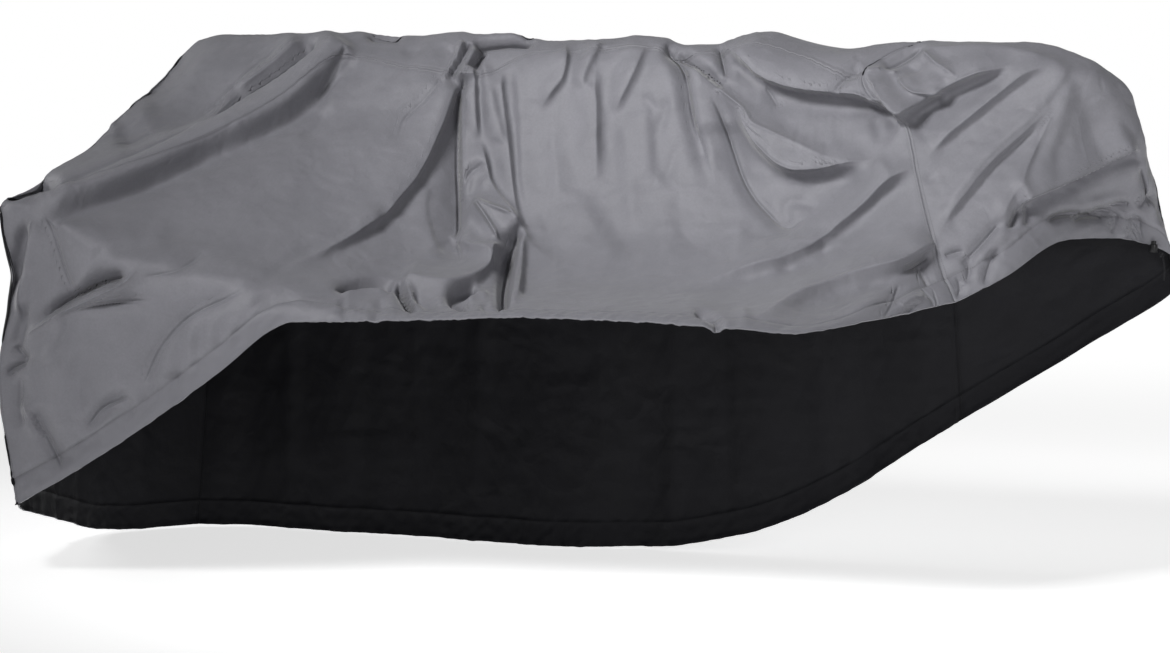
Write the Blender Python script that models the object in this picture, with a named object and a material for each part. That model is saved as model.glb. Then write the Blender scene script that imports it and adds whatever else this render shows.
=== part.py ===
"""Outdoor sofa cover: five sewn panels of coated cloth with a drawcord hem, hanging with its front lifted.

Metres, +Z up. Places are measured from the left end (across), from the front (deep) and from the floor (up),
and moved at the end so that the origin is the point that carries the cover, under the middle of its ridge.
"""
import math
from collections import namedtuple

import bpy
import numpy as np

# ---- driving sizes ----
COVER_WIDTH = 1.95
RIDGE_DEPTH = 0.66
CARRIED_HEIGHT = 1.0
CLOTH = 0.002
HEM_CLOTH = 0.0034
HEM_BAND = 0.05
SEAM_GAP = 0.0004
CORNER_GAP = 0.0008
BACK_TOP_DROP = 0.030
BACK_TOP_DEPTH = 0.735
BACK_BELLY_DEPTH = 0.768

# ---- the drawcord and its lock, at the hem of the right end ----
LOCK_PLACE = (2.003, 0.786, 0.640)
LOCK_PROFILE = ((0, -.0100), (.0056, -.0100), (.0076, -.0082), (.0080, -.0050), (.0080, .0030), (.0072, .0048),
                (0, .0048))
BUTTON_PROFILE = ((0, .0052), (.0050, .0052), (.0050, .0098), (.0038, .0112), (0, .0112))
KNOT_PLACE = (2.0185, 0.786, 0.6255)
KNOT_PROFILE = ((0, -.0052), (.0030, -.0050), (.0058, -.0034), (.0052, -.0014), (.0062, .0004), (.0056, .0030),
                (.0030, .0046), (0, .0048))
CORD_DIAMETER = 0.0035
CORD_ROUTE = ((2.0210, .786, .6198), (2.0230, .786, .6120), (2.0243, .786, .6035), (2.0248, .786, .5945),
              (2.0246, .786, .5855), (2.0240, .786, .5770))
TURNED_SIDES = 24

# ---- mesh of the sheets ----
COLUMNS = 64
DROP_ROWS = 16
TOP_ROWS = 13
CURVE_SAMPLES = 240
NARROWEST_SPREAD = 0.026
TURNED_PANELS = ("top_panel", "back_panel", "left_end_panel")

# ---- the picture that the folds are drawn in: 1170 by 653 dots, seen from the sight point ----
SIGHT_POINT = np.array((3.660, -6.839, 1.196))
SIGHT_TURN = math.radians(20.205)
SIGHT_DIP = math.radians(5.309)
SIGHT_ROLL = math.radians(0.551)
SIGHT_REACH = 4078.4
PICTURE_MIDDLE = np.array((585.0, 326.5))
DOT = 0.00185
PATH_SAMPLES = 24

# One row a section of the cloth, from its ridge down the front to the hem; points are (across, deep, up).
# at: place along the front seam, 0 at the left corner and 1 at the right. seam: drop from ridge to top seam.
Section = namedtuple("Section", "at ridge shoulder upper middle lower turn drop hem seam")
SECTIONS = (
    Section(0.00, (.040, .705, .998), (.005, .635, .940), (.000, .474, .874), (.000, .283, .794),
            (-.012, .090, .735), (-.030, -.012, .700), (-.033, -.018, .380), (.004, -.020, .134), 0.800),
    Section(0.08, (.125, .690, 1.016), (.115, .620, .985), (.110, .460, .885), (.105, .270, .800),
            (.100, .090, .725), (.100, -.025, .665), (.100, -.035, .420), (.102, -.028, .187), 0.640),
    Section(0.17, (.270, .690, 1.018), (.270, .620, .992), (.265, .470, .885), (.260, .280, .775),
            (.255, .100, .670), (.250, -.020, .600), (.250, -.035, .440), (.249, -.028, .278), 0.380),
    Section(0.27, (.420, .690, 1.020), (.425, .620, .990), (.430, .480, .860), (.430, .300, .735),
            (.430, .110, .625), (.425, -.010, .570), (.424, -.030, .480), (.424, -.024, .401), 0.100),
    Section(0.36, (.565, .690, 1.020), (.570, .620, .985), (.575, .500, .830), (.580, .340, .680),
            (.580, .150, .590), (.575, .040, .555), (.572, .005, .530), (.570, -.005, .505), 0.120),
    Section(0.45, (.700, .690, 1.022), (.700, .620, .980), (.700, .530, .800), (.700, .410, .655),
            (.700, .260, .580), (.700, .120, .550), (.700, .040, .533), (.700, .000, .513), 0.125),
    Section(0.53, (.810, .690, 1.018), (.815, .620, .980), (.830, .545, .800), (.845, .430, .645),
            (.855, .290, .575), (.865, .150, .550), (.866, .070, .537), (.866, .020, .526), 0.060),
    Section(0.68, (1.030, .690, 1.020), (1.035, .620, .980), (1.050, .550, .800), (1.060, .440, .640),
            (1.070, .300, .570), (1.075, .170, .548), (1.076, .090, .538), (1.076, .050, .531), 0.050),
    Section(0.84, (1.260, .690, 1.020), (1.265, .620, .980), (1.290, .550, .800), (1.305, .440, .640),
            (1.315, .300, .570), (1.322, .170, .548), (1.323, .090, .538), (1.323, .050, .528), 0.050),
    Section(0.93, (1.430, .690, 1.012), (1.425, .650, .995), (1.430, .610, .940), (1.455, .550, .800),
            (1.475, .450, .660), (1.490, .320, .575), (1.500, .170, .540), (1.504, .080, .522), 0.080),
    Section(1.00, (1.575, .700, 1.022), (1.520, .665, 1.005), (1.478, .630, .962), (1.575, .560, .872),
            (1.617, .505, .765), (1.655, .455, .680), (1.690, .420, .605), (1.720, .400, .556), 0.131),
)

# How high the ridge stands along the cover, over the folds that cross it.
RidgeTop = namedtuple("RidgeTop", "across up")
RIDGE_TOPS = (
    RidgeTop(.04, 1.000), RidgeTop(.10, 1.015), RidgeTop(.27, 1.021), RidgeTop(.33, 1.018), RidgeTop(.40, 1.025),
    RidgeTop(.52, 1.018), RidgeTop(.62, 1.029), RidgeTop(.66, 1.024), RidgeTop(.73, 1.028), RidgeTop(.81, 1.015),
    RidgeTop(.95, 1.021), RidgeTop(.99, 1.027), RidgeTop(1.05, 1.023), RidgeTop(1.09, 1.010),
    RidgeTop(1.17, 1.013), RidgeTop(1.27, 1.034), RidgeTop(1.33, 1.021), RidgeTop(1.42, 1.007),
    RidgeTop(1.49, 1.018), RidgeTop(1.59, 1.028),
)

# The rear hem, from the left corner to the right one.
RearHem = namedtuple("RearHem", "at across deep up")
REAR_HEM = (
    RearHem(0.00, .030, .715, .004), RearHem(0.08, .130, .745, .003), RearHem(0.17, .270, .755, .003),
    RearHem(0.36, .560, .735, .003), RearHem(0.53, .830, .735, .003), RearHem(0.62, .977, .780, .004),
    RearHem(0.74, 1.183, .790, .040), RearHem(0.81, 1.294, .800, .080), RearHem(1.00, 1.620, .825, .285),
)

# The end panels: a row a section from the top seam down to the hem. at: 0 at the front seam, 1 at the back one.
EndSection = namedtuple("EndSection", "at top high middle low hem")
RIGHT_END = (
    EndSection(0.00, (1.478, .630, .962), (1.575, .560, .872), (1.617, .505, .765), (1.672, .440, .650),
               (1.720, .400, .556)),
    EndSection(0.18, (1.515, .650, .995), (1.640, .590, .905), (1.730, .540, .800), (1.785, .490, .690),
               (1.800, .460, .600)),
    EndSection(0.36, (1.550, .680, 1.015), (1.730, .625, .975), (1.830, .605, .870), (1.865, .600, .760),
               (1.885, .610, .662)),
    EndSection(0.48, (1.575, .700, 1.022), (1.740, .660, 1.020), (1.885, .650, .975), (1.935, .690, .810),
               (1.950, .765, .655)),
    EndSection(0.62, (1.590, .720, 1.010), (1.806, .700, 1.012), (1.992, .750, .924), (2.012, .770, .780),
               (2.040, .830, .610)),
    EndSection(0.74, (1.600, .735, .990), (1.800, .745, .990), (1.935, .795, .905), (2.012, .850, .740),
               (2.025, .890, .558)),
    EndSection(0.87, (1.600, .750, .960), (1.740, .775, .925), (1.850, .820, .800), (1.870, .850, .620),
               (1.860, .865, .440)),
    EndSection(1.00, (1.605, .760, .930), (1.625, .785, .760), (1.640, .800, .600), (1.635, .812, .440),
               (1.620, .825, .285)),
)
LEFT_END = (
    EndSection(0.00, (-.030, -.012, .700), (-.022, -.018, .560), (-.020, -.018, .450), (-.012, -.020, .280),
               (.004, -.020, .134)),
    EndSection(0.25, (-.005, .170, .755), (-.055, .165, .620), (-.078, .160, .450), (-.078, .155, .260),
               (-.065, .150, .095)),
    EndSection(0.50, (.000, .350, .822), (-.050, .350, .660), (-.080, .355, .450), (-.090, .360, .240),
               (-.088, .360, .050)),
    EndSection(0.75, (.000, .530, .897), (-.045, .530, .700), (-.075, .530, .470), (-.095, .530, .240),
               (-.105, .530, .010)),
    EndSection(0.92, (.025, .670, .970), (-.010, .665, .740), (-.030, .655, .490), (-.045, .640, .250),
               (-.050, .620, .003)),
    EndSection(1.00, (.042, .735, .965), (.035, .755, .740), (.030, .765, .490), (.030, .750, .250),
               (.030, .715, .004)),
)

# The folds. path: places in the picture, going right or up. rise: how far the cloth stands out, in mm.
# left, right: how far the fold spreads in mm on the two sides of its path, seen going along it; the left side
# is above a path that goes right. start, end: the shares of the path over which the fold grows and dies away.
# A soft fold is round, a crease comes to a point, and a lap stands up on its left and drops away on its right.
Fold = namedtuple("Fold", "kind rise left right start end path")
FOLDS = (
    # the rolled top edge at the left, and the hollow and slits beside it
    Fold("lap", 9, 55, 42, .15, .10, ((42, 207), (61, 199), (153, 156), (230, 130), (301, 94), (345, 56),
                                      (363, 35))),
    Fold("soft", -12, 26, 50, .25, .15, ((61, 214), (150, 176), (190, 151), (230, 138), (262, 124), (300, 103))),
    Fold("crease", -14, 26, 20, .25, .10, ((202, 124), (237, 101), (306, 55), (325, 40), (350, 33))),
    Fold("crease", -6, 24, 24, .20, .20, ((112, 143), (153, 128), (217, 99))),
    Fold("soft", 9, 30, 30, .10, .30, ((106, 128), (128, 118), (160, 104))),
    # the left end of the front, down from the corner
    Fold("crease", -16, 24, 24, .30, .40, ((12, 199), (32, 190), (61, 196))),
    Fold("soft", -16, 24, 24, .30, .15, ((11, 304), (13, 280), (20, 250), (33, 222))),
    Fold("soft", 9, 26, 30, .20, .20, ((2, 372), (8, 340), (18, 290), (28, 250), (36, 215))),
    Fold("soft", -14, 34, 24, .10, .25, ((20, 334), (60, 303), (85, 289), (105, 276))),
    Fold("soft", 8, 22, 34, .15, .30, ((24, 333), (55, 315), (95, 292), (128, 278))),
    Fold("soft", -6, 30, 30, .20, .30, ((55, 462), (48, 446), (37, 429), (31, 407), (20, 399))),
    # the long swag to the left of the middle, and its hollow
    Fold("lap", 9, 60, 26, .35, .05, ((262, 275), (300, 263), (340, 250), (385, 220), (409, 196), (432, 165),
                                      (436, 130), (442, 97), (448, 65), (455, 34))),
    Fold("soft", -10, 34, 24, .30, .05, ((401, 115), (430, 75), (455, 40))),
    # the pleat in the middle: the deep hollow, the raised strip and the facets under it
    Fold("soft", -20, 34, 24, .20, .05, ((449, 240), (449, 216), (453, 170), (448, 135), (449, 100), (458, 70),
                                         (468, 38))),
    Fold("lap", 9, 28, 24, .05, .20, ((473, 42), (462, 65), (457, 80), (456, 110), (458, 170), (461, 237))),
    Fold("soft", 7, 24, 24, .15, .15, ((493, 265), (497, 243), (484, 222), (466, 195))),
    Fold("soft", -18, 26, 26, .15, .20, ((492, 303), (500, 275), (501, 250), (497, 232))),
    Fold("soft", 8, 24, 24, .15, .30, ((507, 302), (510, 262), (516, 230))),
    Fold("soft", -8, 26, 26, .20, .10, ((521, 240), (514, 190), (512, 140), (509, 100), (503, 66))),
    Fold("soft", -10, 24, 24, .30, .30, ((330, 289), (365, 283), (400, 290), (430, 303), (470, 292))),
    # the hanging folds to the right of the middle
    Fold("soft", -9, 26, 26, .35, .20, ((600, 183), (604, 120), (602, 90), (598, 60))),
    Fold("soft", -9, 26, 26, .25, .10, ((540, 110), (557, 92), (572, 70), (577, 52))),
    Fold("soft", -8, 24, 28, .15, .10, ((616, 112), (632, 79), (649, 43))),
    Fold("soft", -11, 26, 26, .30, .10, ((708, 163), (695, 136), (681, 84), (669, 47))),
    Fold("soft", 12, 28, 34, .05, .30, ((658, 38), (681, 57), (724, 92), (748, 112), (787, 132), (847, 157))),
    # the swags that run down to the left from the right-hand corner
    Fold("lap", 16, 50, 28, .10, .10, ((718, 45), (734, 62), (770, 88), (843, 102), (880, 113), (907, 124))),
    Fold("soft", -13, 45, 40, .25, .25, ((705, 100), (735, 150), (765, 190), (792, 207))),
    Fold("lap", 9, 40, 28, .25, .20, ((742, 125), (765, 155), (785, 171), (799, 175), (840, 168), (880, 158))),
    Fold("lap", 9, 45, 26, .20, .05, ((685, 288), (750, 278), (790, 266), (825, 245), (862, 207), (895, 180),
                                      (925, 166), (970, 125), (1000, 100), (1020, 85), (1055, 63))),
    Fold("lap", 8, 40, 26, .15, .05, ((750, 322), (790, 303), (827, 292), (866, 280), (900, 266), (938, 239),
                                      (969, 202), (1000, 165), (1030, 135), (1060, 98))),
    Fold("soft", -7, 26, 26, .20, .10, ((940, 217), (966, 180), (1015, 135), (1040, 105), (1060, 82))),
    Fold("soft", -8, 26, 26, .25, .10, ((1012, 212), (1022, 180), (1045, 140), (1065, 100), (1076, 72))),
    Fold("soft", -12, 26, 26, .10, .20, ((907, 125), (930, 110), (975, 88), (1012, 70))),
    # the fold that laps over the right end above its hem, and the turned corner beyond it
    Fold("lap", 9, 34, 26, .15, .10, ((1020, 206), (1040, 198), (1065, 188), (1092, 172), (1110, 163), (1137, 150))),
    Fold("soft", 8, 34, 26, .15, .20, ((1138, 150), (1120, 125), (1100, 90), (1080, 60))),
)

# Folds that hang straight down the back and the left end: how far along, how far out, how wide, in metres.
HangingFold = namedtuple("HangingFold", "along out spread")
BACK_FOLDS = (
    HangingFold(.12, .012, .05), HangingFold(.33, -.014, .06), HangingFold(.52, .016, .07),
    HangingFold(.78, -.012, .05), HangingFold(.98, .015, .06), HangingFold(1.22, -.016, .08),
    HangingFold(1.45, .012, .05),
)
LEFT_END_FOLDS = (HangingFold(.14, .010, .05), HangingFold(.36, -.012, .06), HangingFold(.55, .012, .05))


def smooth_curve(knots, values, at):
    """Values at the places `at` of a curve through the knots that doesn't swing past them."""
    knots = np.asarray(knots, float)
    values = np.asarray(values, float)
    at = np.clip(np.asarray(at, float), knots[0], knots[-1])
    width = np.diff(knots).reshape((-1,) + (1,) * (values.ndim - 1))
    slope = np.diff(values, axis=0) / width
    tangent = np.zeros_like(values)
    tangent[0], tangent[-1] = slope[0], slope[-1]
    before, after = slope[:-1], slope[1:]
    weight_a = 2 * width[1:] + width[:-1]
    weight_b = width[1:] + 2 * width[:-1]
    same_way = before * after > 0
    safe_a = np.where(same_way, before, 1.0)
    safe_b = np.where(same_way, after, 1.0)
    mean = (weight_a + weight_b) / (weight_a / safe_a + weight_b / safe_b)
    tangent[1:-1] = np.where(same_way, mean, 0.0)
    piece = np.clip(np.searchsorted(knots, at, side="right") - 1, 0, len(knots) - 2)
    step = width[piece]
    u = (at - knots[piece]).reshape((-1,) + (1,) * (values.ndim - 1)) / step
    return (values[piece] * (1 + 2 * u) * (1 - u) ** 2 + tangent[piece] * step * u * (1 - u) ** 2
            + values[piece + 1] * u * u * (3 - 2 * u) + tangent[piece + 1] * step * u * u * (u - 1))


def measured_curve(points):
    """A smooth curve through the points as many samples, and the length along it at each sample."""
    chord = np.r_[0, np.cumsum(np.linalg.norm(np.diff(points, axis=0), axis=1))]
    samples = smooth_curve(chord, points, np.linspace(0, chord[-1], CURVE_SAMPLES))
    length = np.r_[0, np.cumsum(np.linalg.norm(np.diff(samples, axis=0), axis=1))]
    return samples, length


def at_lengths(samples, length, wanted):
    return np.stack([np.interp(wanted, length, column) for column in samples.T], axis=1)


def hem_rows(total, rows):
    """Distances of the rows from a seam to the hem, with the last row as deep as the hem's band."""
    band = min(HEM_BAND, total / rows)
    return np.r_[np.linspace(0, total - band, rows), total]


def back_points(at, ridge):
    hem = smooth_curve([row.at for row in REAR_HEM], [row[1:] for row in REAR_HEM], [at])[0]
    top = np.array((ridge[0] + 0.02 * at, BACK_TOP_DEPTH, ridge[2] - BACK_TOP_DROP))
    lean = 0.5 * (top[0] + hem[0])
    return top, np.array((lean, BACK_BELLY_DEPTH, 0.5 * (top[2] + hem[2]))), hem


def loft_column(at):
    """The front, top and back stretches of the section at one place along the front seam."""
    stations = [row.at for row in SECTIONS]
    front = smooth_curve(stations, [row[1:9] for row in SECTIONS], [at])[0]
    ridge_top = smooth_curve([row.across for row in RIDGE_TOPS], [row.up for row in RIDGE_TOPS], [front[0, 0]])[0]
    front[0, 2] += ridge_top - front[0, 2]
    seam = smooth_curve(stations, [row.seam for row in SECTIONS], [at])[0]
    back_top, back_middle, back_hem = back_points(at, front[0])
    points = np.vstack((back_hem, back_middle, back_top, front))
    samples, length = measured_curve(points)
    ridge_at = length[np.argmin(np.linalg.norm(samples - front[0], axis=1))]
    back_seam = length[np.argmin(np.linalg.norm(samples - back_top, axis=1))]
    total = length[-1]
    front_line = at_lengths(samples, length, ridge_at + seam + hem_rows(total - ridge_at - seam, DROP_ROWS))
    top_line = at_lengths(samples, length, np.linspace(ridge_at + seam, back_seam, TOP_ROWS + 1))
    back_line = at_lengths(samples, length, back_seam - hem_rows(back_seam, DROP_ROWS))
    return front_line, top_line, back_line


def end_grid(table, front_edge, back_edge, top_edge):
    """An end panel from its sections, stretched so that three of its edges lie on the given ones."""
    share = np.linspace(0, 1, TOP_ROWS + 1)
    controls = smooth_curve([row.at for row in table], [row[1:] for row in table], share)
    grid = np.zeros((TOP_ROWS + 1, DROP_ROWS + 1, 3))
    for column, points in enumerate(controls):
        samples, length = measured_curve(points)
        grid[column] = at_lengths(samples, length, hem_rows(length[-1], DROP_ROWS))
    down = np.linspace(0, 1, DROP_ROWS + 1)
    across = share[:, None, None]
    front_error = front_edge - grid[0]
    back_error = back_edge - grid[-1]
    grid = grid + (1 - across) * front_error + across * back_error
    top_error = top_edge - grid[:, 0]
    return grid + (1 - down)[None, :, None] ** 2 * top_error[:, None, :]


def grid_faces(ids, name):
    """The faces between a grid's points, with their outsides outward."""
    corners = (ids[:-1, :-1], ids[:-1, 1:], ids[1:, 1:], ids[1:, :-1])
    if name in TURNED_PANELS:
        corners = corners[::-1]
    return np.stack([corner.ravel() for corner in corners], axis=1)


def split_faces(quads, points):
    """Each four-sided face as two triangles on either side of its shorter diagonal."""
    a, b, c, d = quads.T
    short = np.linalg.norm(points[a] - points[c], axis=1) <= np.linalg.norm(points[b] - points[d], axis=1)
    first = np.where(short[:, None], np.stack((a, b, c), axis=1), np.stack((a, b, d), axis=1))
    second = np.where(short[:, None], np.stack((a, c, d), axis=1), np.stack((b, c, d), axis=1))
    return np.vstack((first, second))


class Drape:
    """The whole cover as one grid of points, with the faces of each panel."""

    def __init__(self):
        columns = [loft_column(at) for at in np.linspace(0, 1, COLUMNS + 1)]
        front, top, back = (np.array([column[part] for column in columns]) for part in range(3))
        right = end_grid(RIGHT_END, front[-1], back[-1], top[-1])
        left = end_grid(LEFT_END, front[0], back[0], top[0])
        self.points = np.zeros((0, 3))
        self.grids = {}
        self.add("front_panel", front)
        self.add("top_panel", top, upper=self.grids["front_panel"][:, 0])
        self.add("back_panel", back, upper=self.grids["top_panel"][:, -1])
        for name, grid, side in (("right_end_panel", right, -1), ("left_end_panel", left, 0)):
            self.add(name, grid, upper=self.grids["top_panel"][side], first=self.grids["front_panel"][side],
                     last=self.grids["back_panel"][side])
        self.hang("back_panel", BACK_FOLDS, 0, 1)
        self.hang("left_end_panel", LEFT_END_FOLDS, 1, 0)
        normals = self.normals()
        self.points += fold_heights(self.points, normals)[:, None] * normals

    def add(self, name, grid, upper=None, first=None, last=None):
        """Adds a panel's grid; upper, first and last are edges whose points another panel has already."""
        ids = np.full(grid.shape[:2], -1)
        if upper is not None:
            ids[:, 0] = upper
        if first is not None:
            ids[0], ids[-1] = first, last
        new = ids < 0
        ids[new] = len(self.points) + np.arange(new.sum())
        self.points = np.vstack((self.points, grid[new]))
        self.grids[name] = ids

    def hang(self, name, folds, along_axis, out_axis):
        """Folds a panel in long upright folds that grow from its top down to its hem."""
        ids = self.grids[name]
        edges = soft_step(np.linspace(0, 1, len(ids)), 0, 0.1) * soft_step(np.linspace(1, 0, len(ids)), 0, 0.1)
        down = np.linspace(0, 1, ids.shape[1])
        grow = edges[:, None] * down[None, :]
        self.points[ids, out_axis] += grow * hanging_moves(self.points[ids, along_axis], folds)

    def faces(self, name):
        return grid_faces(self.grids[name], name)

    def normals(self):
        faces = np.vstack([self.faces(name) for name in self.grids])
        a, b, c, d = (self.points[faces[:, corner]] for corner in range(4))
        face_normals = np.cross(c - a, d - b)
        normals = np.zeros_like(self.points)
        for corner in range(4):
            np.add.at(normals, faces[:, corner], face_normals)
        return normals / np.linalg.norm(normals, axis=1, keepdims=True)


def sight_axes():
    """The directions to the right, up and forward as seen from the sight point."""
    turn, dip = SIGHT_TURN, SIGHT_DIP
    forward = np.array((-math.sin(turn) * math.cos(dip), math.cos(turn) * math.cos(dip), -math.sin(dip)))
    level = np.array((math.cos(turn), math.sin(turn), 0))
    upright = np.cross(level, forward)
    right = math.cos(SIGHT_ROLL) * level + math.sin(SIGHT_ROLL) * upright
    return right, np.cross(right, forward), forward


def drawn_places(points):
    """Where the points are seen in the picture, in dots from its top left corner."""
    right, up, forward = sight_axes()
    offset = points - SIGHT_POINT
    scale = SIGHT_REACH / (offset @ forward)
    return PICTURE_MIDDLE + np.stack((scale * (offset @ right), -scale * (offset @ up)), axis=1)


def soft_step(value, low, high):
    share = np.clip((value - low) / (high - low), 0, 1)
    return share * share * (3 - 2 * share)


def nearest_on_path(places, path):
    """How far each place is to the right of a path, and its share of the path's length there."""
    samples, length = measured_curve(np.array(path, float))
    keep = np.linspace(0, length[-1], PATH_SAMPLES + 1)
    corners = at_lengths(samples, length, keep)
    away = np.full(len(places), np.inf)
    side = np.zeros(len(places))
    share = np.zeros(len(places))
    for number, (here, there) in enumerate(zip(corners, corners[1:])):
        step = there - here
        reach = np.linalg.norm(step)
        way = step / reach
        offset = places - here
        along = np.clip(offset @ way, 0, reach)
        distance = np.linalg.norm(offset - along[:, None] * way, axis=1)
        nearer = distance < away
        away = np.where(nearer, distance, away)
        side = np.where(nearer, way[0] * offset[:, 1] - way[1] * offset[:, 0], side)
        share = np.where(nearer, (number + along / reach) / PATH_SAMPLES, share)
    return away * np.sign(side), share


def fold_profile(kind, distance, left, right):
    """How high a fold stands, of its full rise, at distances to the right of its path."""
    share = np.where(distance < 0, -distance / left, distance / right)
    if kind == "crease":
        return np.exp(-share)
    bulge = np.exp(-share ** 2)
    if kind == "soft":
        return bulge
    return np.where(distance < 0, bulge, (2 * bulge - 1) * np.exp(-(share / 3) ** 2))


def fold_heights(points, normals):
    """How far the folds move each point out along its normal."""
    places = drawn_places(points)
    sight = SIGHT_POINT - points
    facing = np.sum(normals * sight, axis=1) / np.linalg.norm(sight, axis=1)
    heights = np.zeros(len(points))
    for fold in FOLDS:
        distance, share = nearest_on_path(places, fold.path)
        left, right = (max(spread / 1000, NARROWEST_SPREAD) for spread in (fold.left, fold.right))
        fade = soft_step(share, 0, fold.start) * soft_step(1 - share, 0, fold.end)
        heights += fold.rise / 1000 * fade * fold_profile(fold.kind, distance * DOT, left, right)
    return heights * soft_step(facing, -0.35, 0.05)


def hanging_moves(along, folds):
    return sum(fold.out * np.exp(-((along - fold.along) / fold.spread) ** 2) for fold in folds)


def sheet_mesh(name, drape, normals):
    """Points and faces of a panel as a closed sheet: its grid, a second one inside it, and the rims between."""
    ids = drape.grids[name]
    outer = drape.points[ids].copy()
    trim_edge(outer, name)
    thickness = np.full(ids.shape, CLOTH)
    if name != "top_panel":
        thickness[:, -2:] = HEM_CLOTH
    inner = outer - normals[ids] * thickness[:, :, None]
    local = np.arange(ids.size).reshape(ids.shape)
    points = outer.reshape(-1, 3)
    skin = split_faces(grid_faces(local, name), points)
    rim = np.r_[local[:-1, 0], local[-1, :-1], local[:0:-1, -1], local[0, :0:-1]]
    after = np.roll(rim, -1)
    sides = np.stack((rim, after, after + ids.size, rim + ids.size), axis=1)
    if name in TURNED_PANELS:
        sides = sides[:, ::-1]
    points = np.vstack((points, inner.reshape(-1, 3)))
    return points, np.vstack((skin, ids.size + skin[:, ::-1], split_faces(sides, points)))


def add_object(name, points, faces, material):
    mesh = bpy.data.meshes.new(name)
    mesh.from_pydata(np.asarray(points).tolist(), [], [tuple(int(corner) for corner in face) for face in faces])
    mesh.materials.append(material)
    mesh.shade_smooth()
    thing = bpy.data.objects.new(name, mesh)
    bpy.context.scene.collection.objects.link(thing)
    return thing


def trim_edge(outer, name):
    """Draws a panel's sewn edges back by half of the seam's gap, and by more where three panels meet."""

    def pull(edge, inside):
        way = inside - edge
        count = len(edge)
        to_corner = np.minimum(np.arange(count), np.arange(count)[::-1])
        step = SEAM_GAP / 2 + CORNER_GAP * np.clip(1 - to_corner / 2, 0, 1)
        return edge + step[:, None] * way / np.linalg.norm(way, axis=-1, keepdims=True)

    first, last = pull(outer[0], outer[1]), pull(outer[-1], outer[-2])
    outer[0], outer[-1] = first, last
    outer[:, 0] = pull(outer[:, 0], outer[:, 1])
    if name == "top_panel":
        outer[:, -1] = pull(outer[:, -1], outer[:, -2])


def turned_mesh(profile, place):
    """A closed solid turned about an upright axis from (radius, height) rows whose ends lie on the axis."""
    turn = np.linspace(0, 2 * math.pi, TURNED_SIDES, endpoint=False)
    circle = np.stack((np.cos(turn), np.sin(turn)), axis=1)
    rings = [np.column_stack((radius * circle, np.full(TURNED_SIDES, height))) for radius, height in profile[1:-1]]
    poles = np.array([(0, 0, profile[0][1]), (0, 0, profile[-1][1])])
    points = np.vstack(rings + [poles]) + np.array(place)
    bottom, top = len(points) - 2, len(points) - 1
    faces = []
    for side in range(TURNED_SIDES):
        after = (side + 1) % TURNED_SIDES
        faces.append((bottom, after, side))
        for ring in range(len(rings) - 1):
            low, high = ring * TURNED_SIDES, (ring + 1) * TURNED_SIDES
            faces.append((low + side, low + after, high + after, high + side))
        faces.append((high + side, high + after, top))
    return points, faces


def add_cord(name, route, diameter, material):
    curve = bpy.data.curves.new(name, "CURVE")
    curve.dimensions = "3D"
    curve.bevel_depth = diameter / 2
    curve.bevel_resolution = 2
    curve.use_fill_caps = True
    spline = curve.splines.new("POLY")
    spline.points.add(len(route) - 1)
    for point, place in zip(spline.points, route):
        point.co = (*place, 1)
    curve.materials.append(material)
    cord = bpy.data.objects.new(name, curve)
    bpy.context.scene.collection.objects.link(cord)
    return cord


def plain_material(name, colour, roughness):
    material = bpy.data.materials.new(name)
    material.use_nodes = True
    shader = material.node_tree.nodes["Principled BSDF"]
    shader.inputs["Base Color"].default_value = (*colour, 1)
    shader.inputs["Roughness"].default_value = roughness
    shader.inputs["Metallic"].default_value = 0.0
    return material


def main():
    for thing in list(bpy.data.objects):
        bpy.data.objects.remove(thing, do_unlink=True)
    origin = np.array((COVER_WIDTH / 2, RIDGE_DEPTH, CARRIED_HEIGHT))
    drape = Drape()
    normals = drape.normals()
    cloth = plain_material("coated_cloth", (0.216, 0.212, 0.231), 0.62)
    black = plain_material("black_plastic", (0.012, 0.012, 0.013), 0.4)
    braid = plain_material("black_braid", (0.014, 0.014, 0.016), 0.85)
    for name in drape.grids:
        points, faces = sheet_mesh(name, drape, normals)
        add_object(name, points - origin, faces, cloth)
    lock = np.array(LOCK_PLACE) - origin
    add_object("cord_lock", *turned_mesh(LOCK_PROFILE, lock), black)
    add_object("cord_lock_button", *turned_mesh(BUTTON_PROFILE, lock), black)
    add_object("drawcord_knot", *turned_mesh(KNOT_PROFILE, np.array(KNOT_PLACE) - origin), braid)
    add_cord("drawcord", [np.array(place) - origin for place in CORD_ROUTE], CORD_DIAMETER, braid)


main()
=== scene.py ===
"""Looks of an outdoor sofa cover: five sewn panels of coated cloth in the folds in which they hang, a hem with
its drawcord channel, and the drawcord with its lock.

Laid out as a Blender add-on and run as a script. Metres, +Z up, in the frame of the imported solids.
"""
import functools
import math
from collections import namedtuple

import bmesh
import bpy
import numpy as np
from bpy.props import FloatProperty, FloatVectorProperty, PointerProperty
from mathutils import Matrix, Vector


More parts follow.
